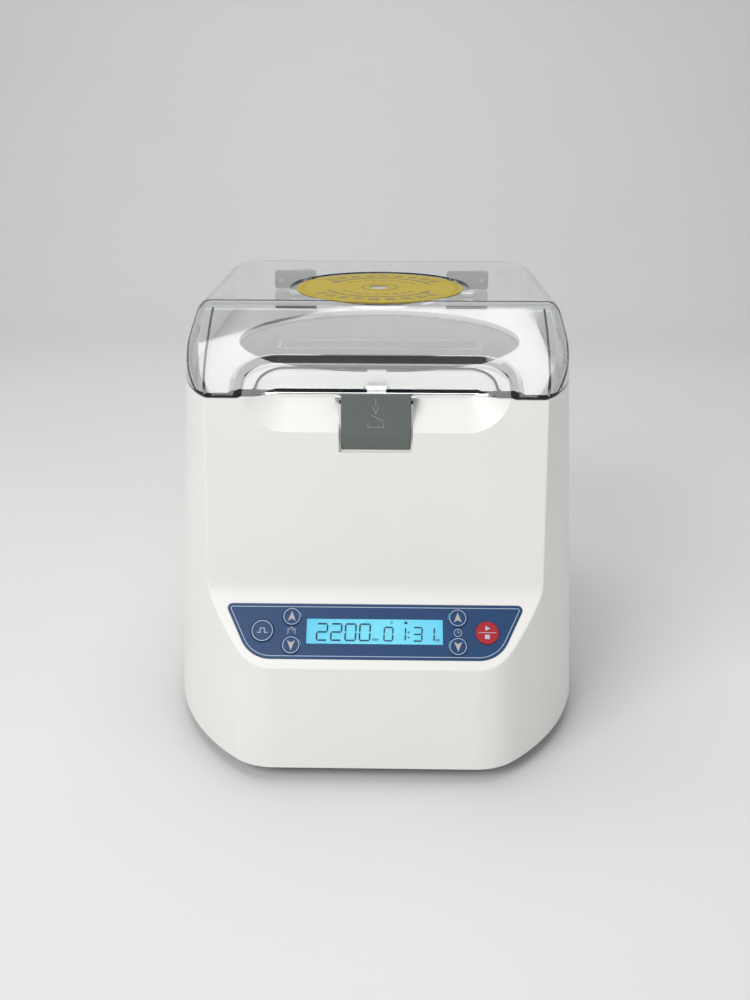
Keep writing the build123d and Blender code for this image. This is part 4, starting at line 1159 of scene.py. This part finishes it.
class Dresser:
    """Puts a finish on every CAD node by its record slot."""

    def __init__(self) -> None:
        """Makes each slot's finish once."""
        self.finishes: dict[str, Any] = {
            "casing_plastic": MouldedPlastic("casing_plastic", (0.80, 0.785, 0.76), 0.4),
            "lid_clear": ClearPlastic("lid_clear"),
            "label_print": PrintedFilm(
                "label_print", (0.40, 0.295, 0.004), (0.32, 0.24, 0.005), 0.55, 0.0
            ),
            "overlay_blue": PrintedFilm(
                "overlay_blue", (0.003, 0.042, 0.135), (0.003, 0.036, 0.115), 0.45, 0.0
            ),
            "window_clear": ClearPlastic("window_clear", (0.85, 0.95, 0.98)),
            "display_glass": LitPanel(
                "display_glass", (0.22, 0.76, 0.92), (0.13, 0.60, 0.86), 0.036, 0.85
            ),
            "key_blue": PrintedFilm(
                "key_blue", (0.003, 0.042, 0.135), (0.003, 0.032, 0.11), 0.4, 0.0
            ),
            "key_red": PrintedFilm(
                "key_red", (0.38, 0.010, 0.020), (0.32, 0.008, 0.016), 0.4, 0.0
            ),
            "latch_grey": MouldedPlastic("latch_grey", (0.118, 0.135, 0.125), 0.42, mottling=0.06),
            "bowl_grey": MouldedPlastic(
                "bowl_grey", (0.34, 0.315, 0.28), 0.38, mottling=0.2
            ),
            "rotor_grey": MouldedPlastic(
                "rotor_grey", (0.22, 0.20, 0.18), 0.35, mottling=0.2
            ),
            "steel": Metal("steel", (0.52, 0.53, 0.55)),
            "screw_steel": Metal("screw_steel", (0.66, 0.67, 0.69), 0.22, (900.0, 900.0, 900.0)),
            "aluminium": Metal("aluminium", (0.70, 0.71, 0.73), 0.3),
            "copper": Metal("copper", (0.62, 0.26, 0.11), 0.35, (300.0, 300.0, 4000.0)),
            "black_rubber": Rubber("black_rubber"),
            "board_green": CircuitLacquer("board_green"),
            "black_plastic": MouldedPlastic("black_plastic", (0.02, 0.02, 0.022), 0.35),
            "cable_black": Rubber("cable_black", (0.025, 0.025, 0.025)),
            "ribbon_grey": MouldedPlastic("ribbon_grey", (0.33, 0.33, 0.35), 0.45),
            "nickel": Metal("nickel", (0.60, 0.50, 0.28), 0.25),
        }
        self.made = {slot: finish.make() for slot, finish in self.finishes.items()}

    def dress(self) -> None:
        """Assigns the finishes."""
        slots = {part["node"]: part["material_slot"] for part in frame["record"]["subparts"]}
        for node, piece in frame["nodes"].items():
            for place in piece.material_slots:
                place.material = self.made[slots[node]]
            log.info("%s dressed as %s", node, slots[node])


@dataclass
class Studio:
    """Pale floor, soft lights and the camera."""

    lens: float = 36.54
    camera_place: tuple[float, float, float] = (0.0076, -0.6010, 0.3421)
    pan: float = 0.92
    tilt: float = 21.65
    roll: float = 0.13
    floor_half: float = 3.0

    def camera(self) -> None:
        """Places the camera."""
        a, p, r = (math.radians(v) for v in (self.pan, self.tilt, self.roll))
        ahead = Vector((-math.sin(a) * math.cos(p), math.cos(a) * math.cos(p), -math.sin(p)))
        right = Vector((math.cos(a), math.sin(a), 0.0))
        up = right.cross(ahead)
        rolled = right * math.cos(r) + up * math.sin(r)
        above = rolled.cross(ahead)
        data = bpy.data.cameras.new("camera")
        data.lens = self.lens
        data.sensor_width = 36.0
        data.clip_start = 0.01
        camera = bpy.data.objects.new("camera", data)
        turn = Matrix((rolled, above, -ahead)).transposed().to_4x4()
        camera.matrix_world = Matrix.Translation(self.camera_place) @ turn
        bpy.context.scene.collection.objects.link(camera)
        bpy.context.scene.camera = camera
        log.info("camera placed")

    def floor(self) -> None:
        """Lays a plain pale floor that curves up far behind."""
        tree = ShaderTree("floor_paint")
        tree.set(
            Base_Color=tree.blend(tree.noise(3.0, 2.0), (0.62, 0.62, 0.61), (0.66, 0.66, 0.65)),
            Roughness=0.6,
        )
        mesh = bmesh.new()
        reach = self.floor_half
        profile = [(-reach, 0.0), (0.9, 0.0)]
        bend = 0.6
        for i in range(1, 13):
            a = math.radians(90 * i / 12)
            profile.append((0.9 + bend * math.sin(a), bend * (1 - math.cos(a))))
        profile.append((0.9 + bend, 3.0))
        rows = [[mesh.verts.new((x, y, z)) for y, z in profile] for x in (-reach, reach)]
        for i in range(len(profile) - 1):
            mesh.faces.new((rows[0][i], rows[1][i], rows[1][i + 1], rows[0][i + 1]))
        for face in mesh.faces:
            face.smooth = True
        as_piece(mesh, "floor", tree.material)
        log.info("floor laid")

    def light(self, name: str, place: Sequence[float], size: float, power: float) -> None:
        """Hangs one soft square light aimed at the object.

        Args:
            name: the light's name.
            place: where it hangs.
            size: its side.
            power: watts.
        """
        data = bpy.data.lights.new(name, "AREA")
        data.shape = "SQUARE"
        data.size = size
        data.energy = power
        lamp = bpy.data.objects.new(name, data)
        away = Vector((0.0, 0.0, 0.12)) - Vector(place)
        lamp.rotation_mode = "QUATERNION"
        lamp.location = place
        lamp.rotation_quaternion = away.to_track_quat("-Z", "Y")
        bpy.context.scene.collection.objects.link(lamp)

    def lights(self) -> None:
        """Lights the object from the front left and above."""
        self.light("key_light", (-0.9, -1.2, 1.2), 0.9, 19.0)
        self.light("top_light", (-0.1, 0.3, 1.5), 1.1, 11.5)
        self.light("fill_light", (1.3, -0.9, 0.7), 1.0, 3.6)
        world = bpy.data.worlds.new("room")
        world.use_nodes = True
        sky = world.node_tree.nodes["Background"]
        sky.inputs[0].default_value = (0.92, 0.94, 0.96, 1.0)
        sky.inputs[1].default_value = 0.46
        bpy.context.scene.world = world
        bpy.context.scene.view_settings.view_transform = "Standard"
        log.info("lights hung")


def main() -> None:
    """Builds the pieces in order."""
    logging.basicConfig(level=logging.INFO, format="%(message)s")
    studio = Studio()
    studio.camera()
    dresser = Dresser()
    dresser.dress()
    pale_ink = PrintedFilm("pale_ink", (0.42, 0.50, 0.62), (0.36, 0.44, 0.56)).make()
    arrow_ink = PrintedFilm("arrow_ink", (0.42, 0.41, 0.38), (0.36, 0.35, 0.33)).make()
    dark_ink = PrintedFilm("dark_ink", (0.010, 0.035, 0.085), (0.012, 0.045, 0.11)).make()
    black_ink = PrintedFilm("black_ink", (0.018, 0.018, 0.016), (0.03, 0.03, 0.025)).make()
    # painted refraction shade: dark colour for the lines standing in for refraction seen in the
    # clear lid's corners and arch
    painted_refraction_dark = PrintedFilm("painted_refraction_dark", (0.022, 0.034, 0.055), (0.04, 0.055, 0.08), 0.2).make()
    sign_grey = MouldedPlastic("sign_grey", (0.26, 0.28, 0.265), 0.35).make()
    panel = ControlPanel()
    panel.frame_line(pale_ink)
    panel.figures(dark_ink)
    panel.keys(pale_ink, arrow_ink)
    panel.captions(pale_ink)
    LidDisc().build(black_ink)
    signs = LatchSigns()
    signs.build(sign_grey)
    LatchSurround().build(signs.sheet(), dresser.made["casing_plastic"])
    LidPaintedRefractionLines().build(painted_refraction_dark)
    RotorGrip().build(dresser.made["black_plastic"])
    studio.floor()
    studio.lights()


if __name__ == "__main__":
    main()
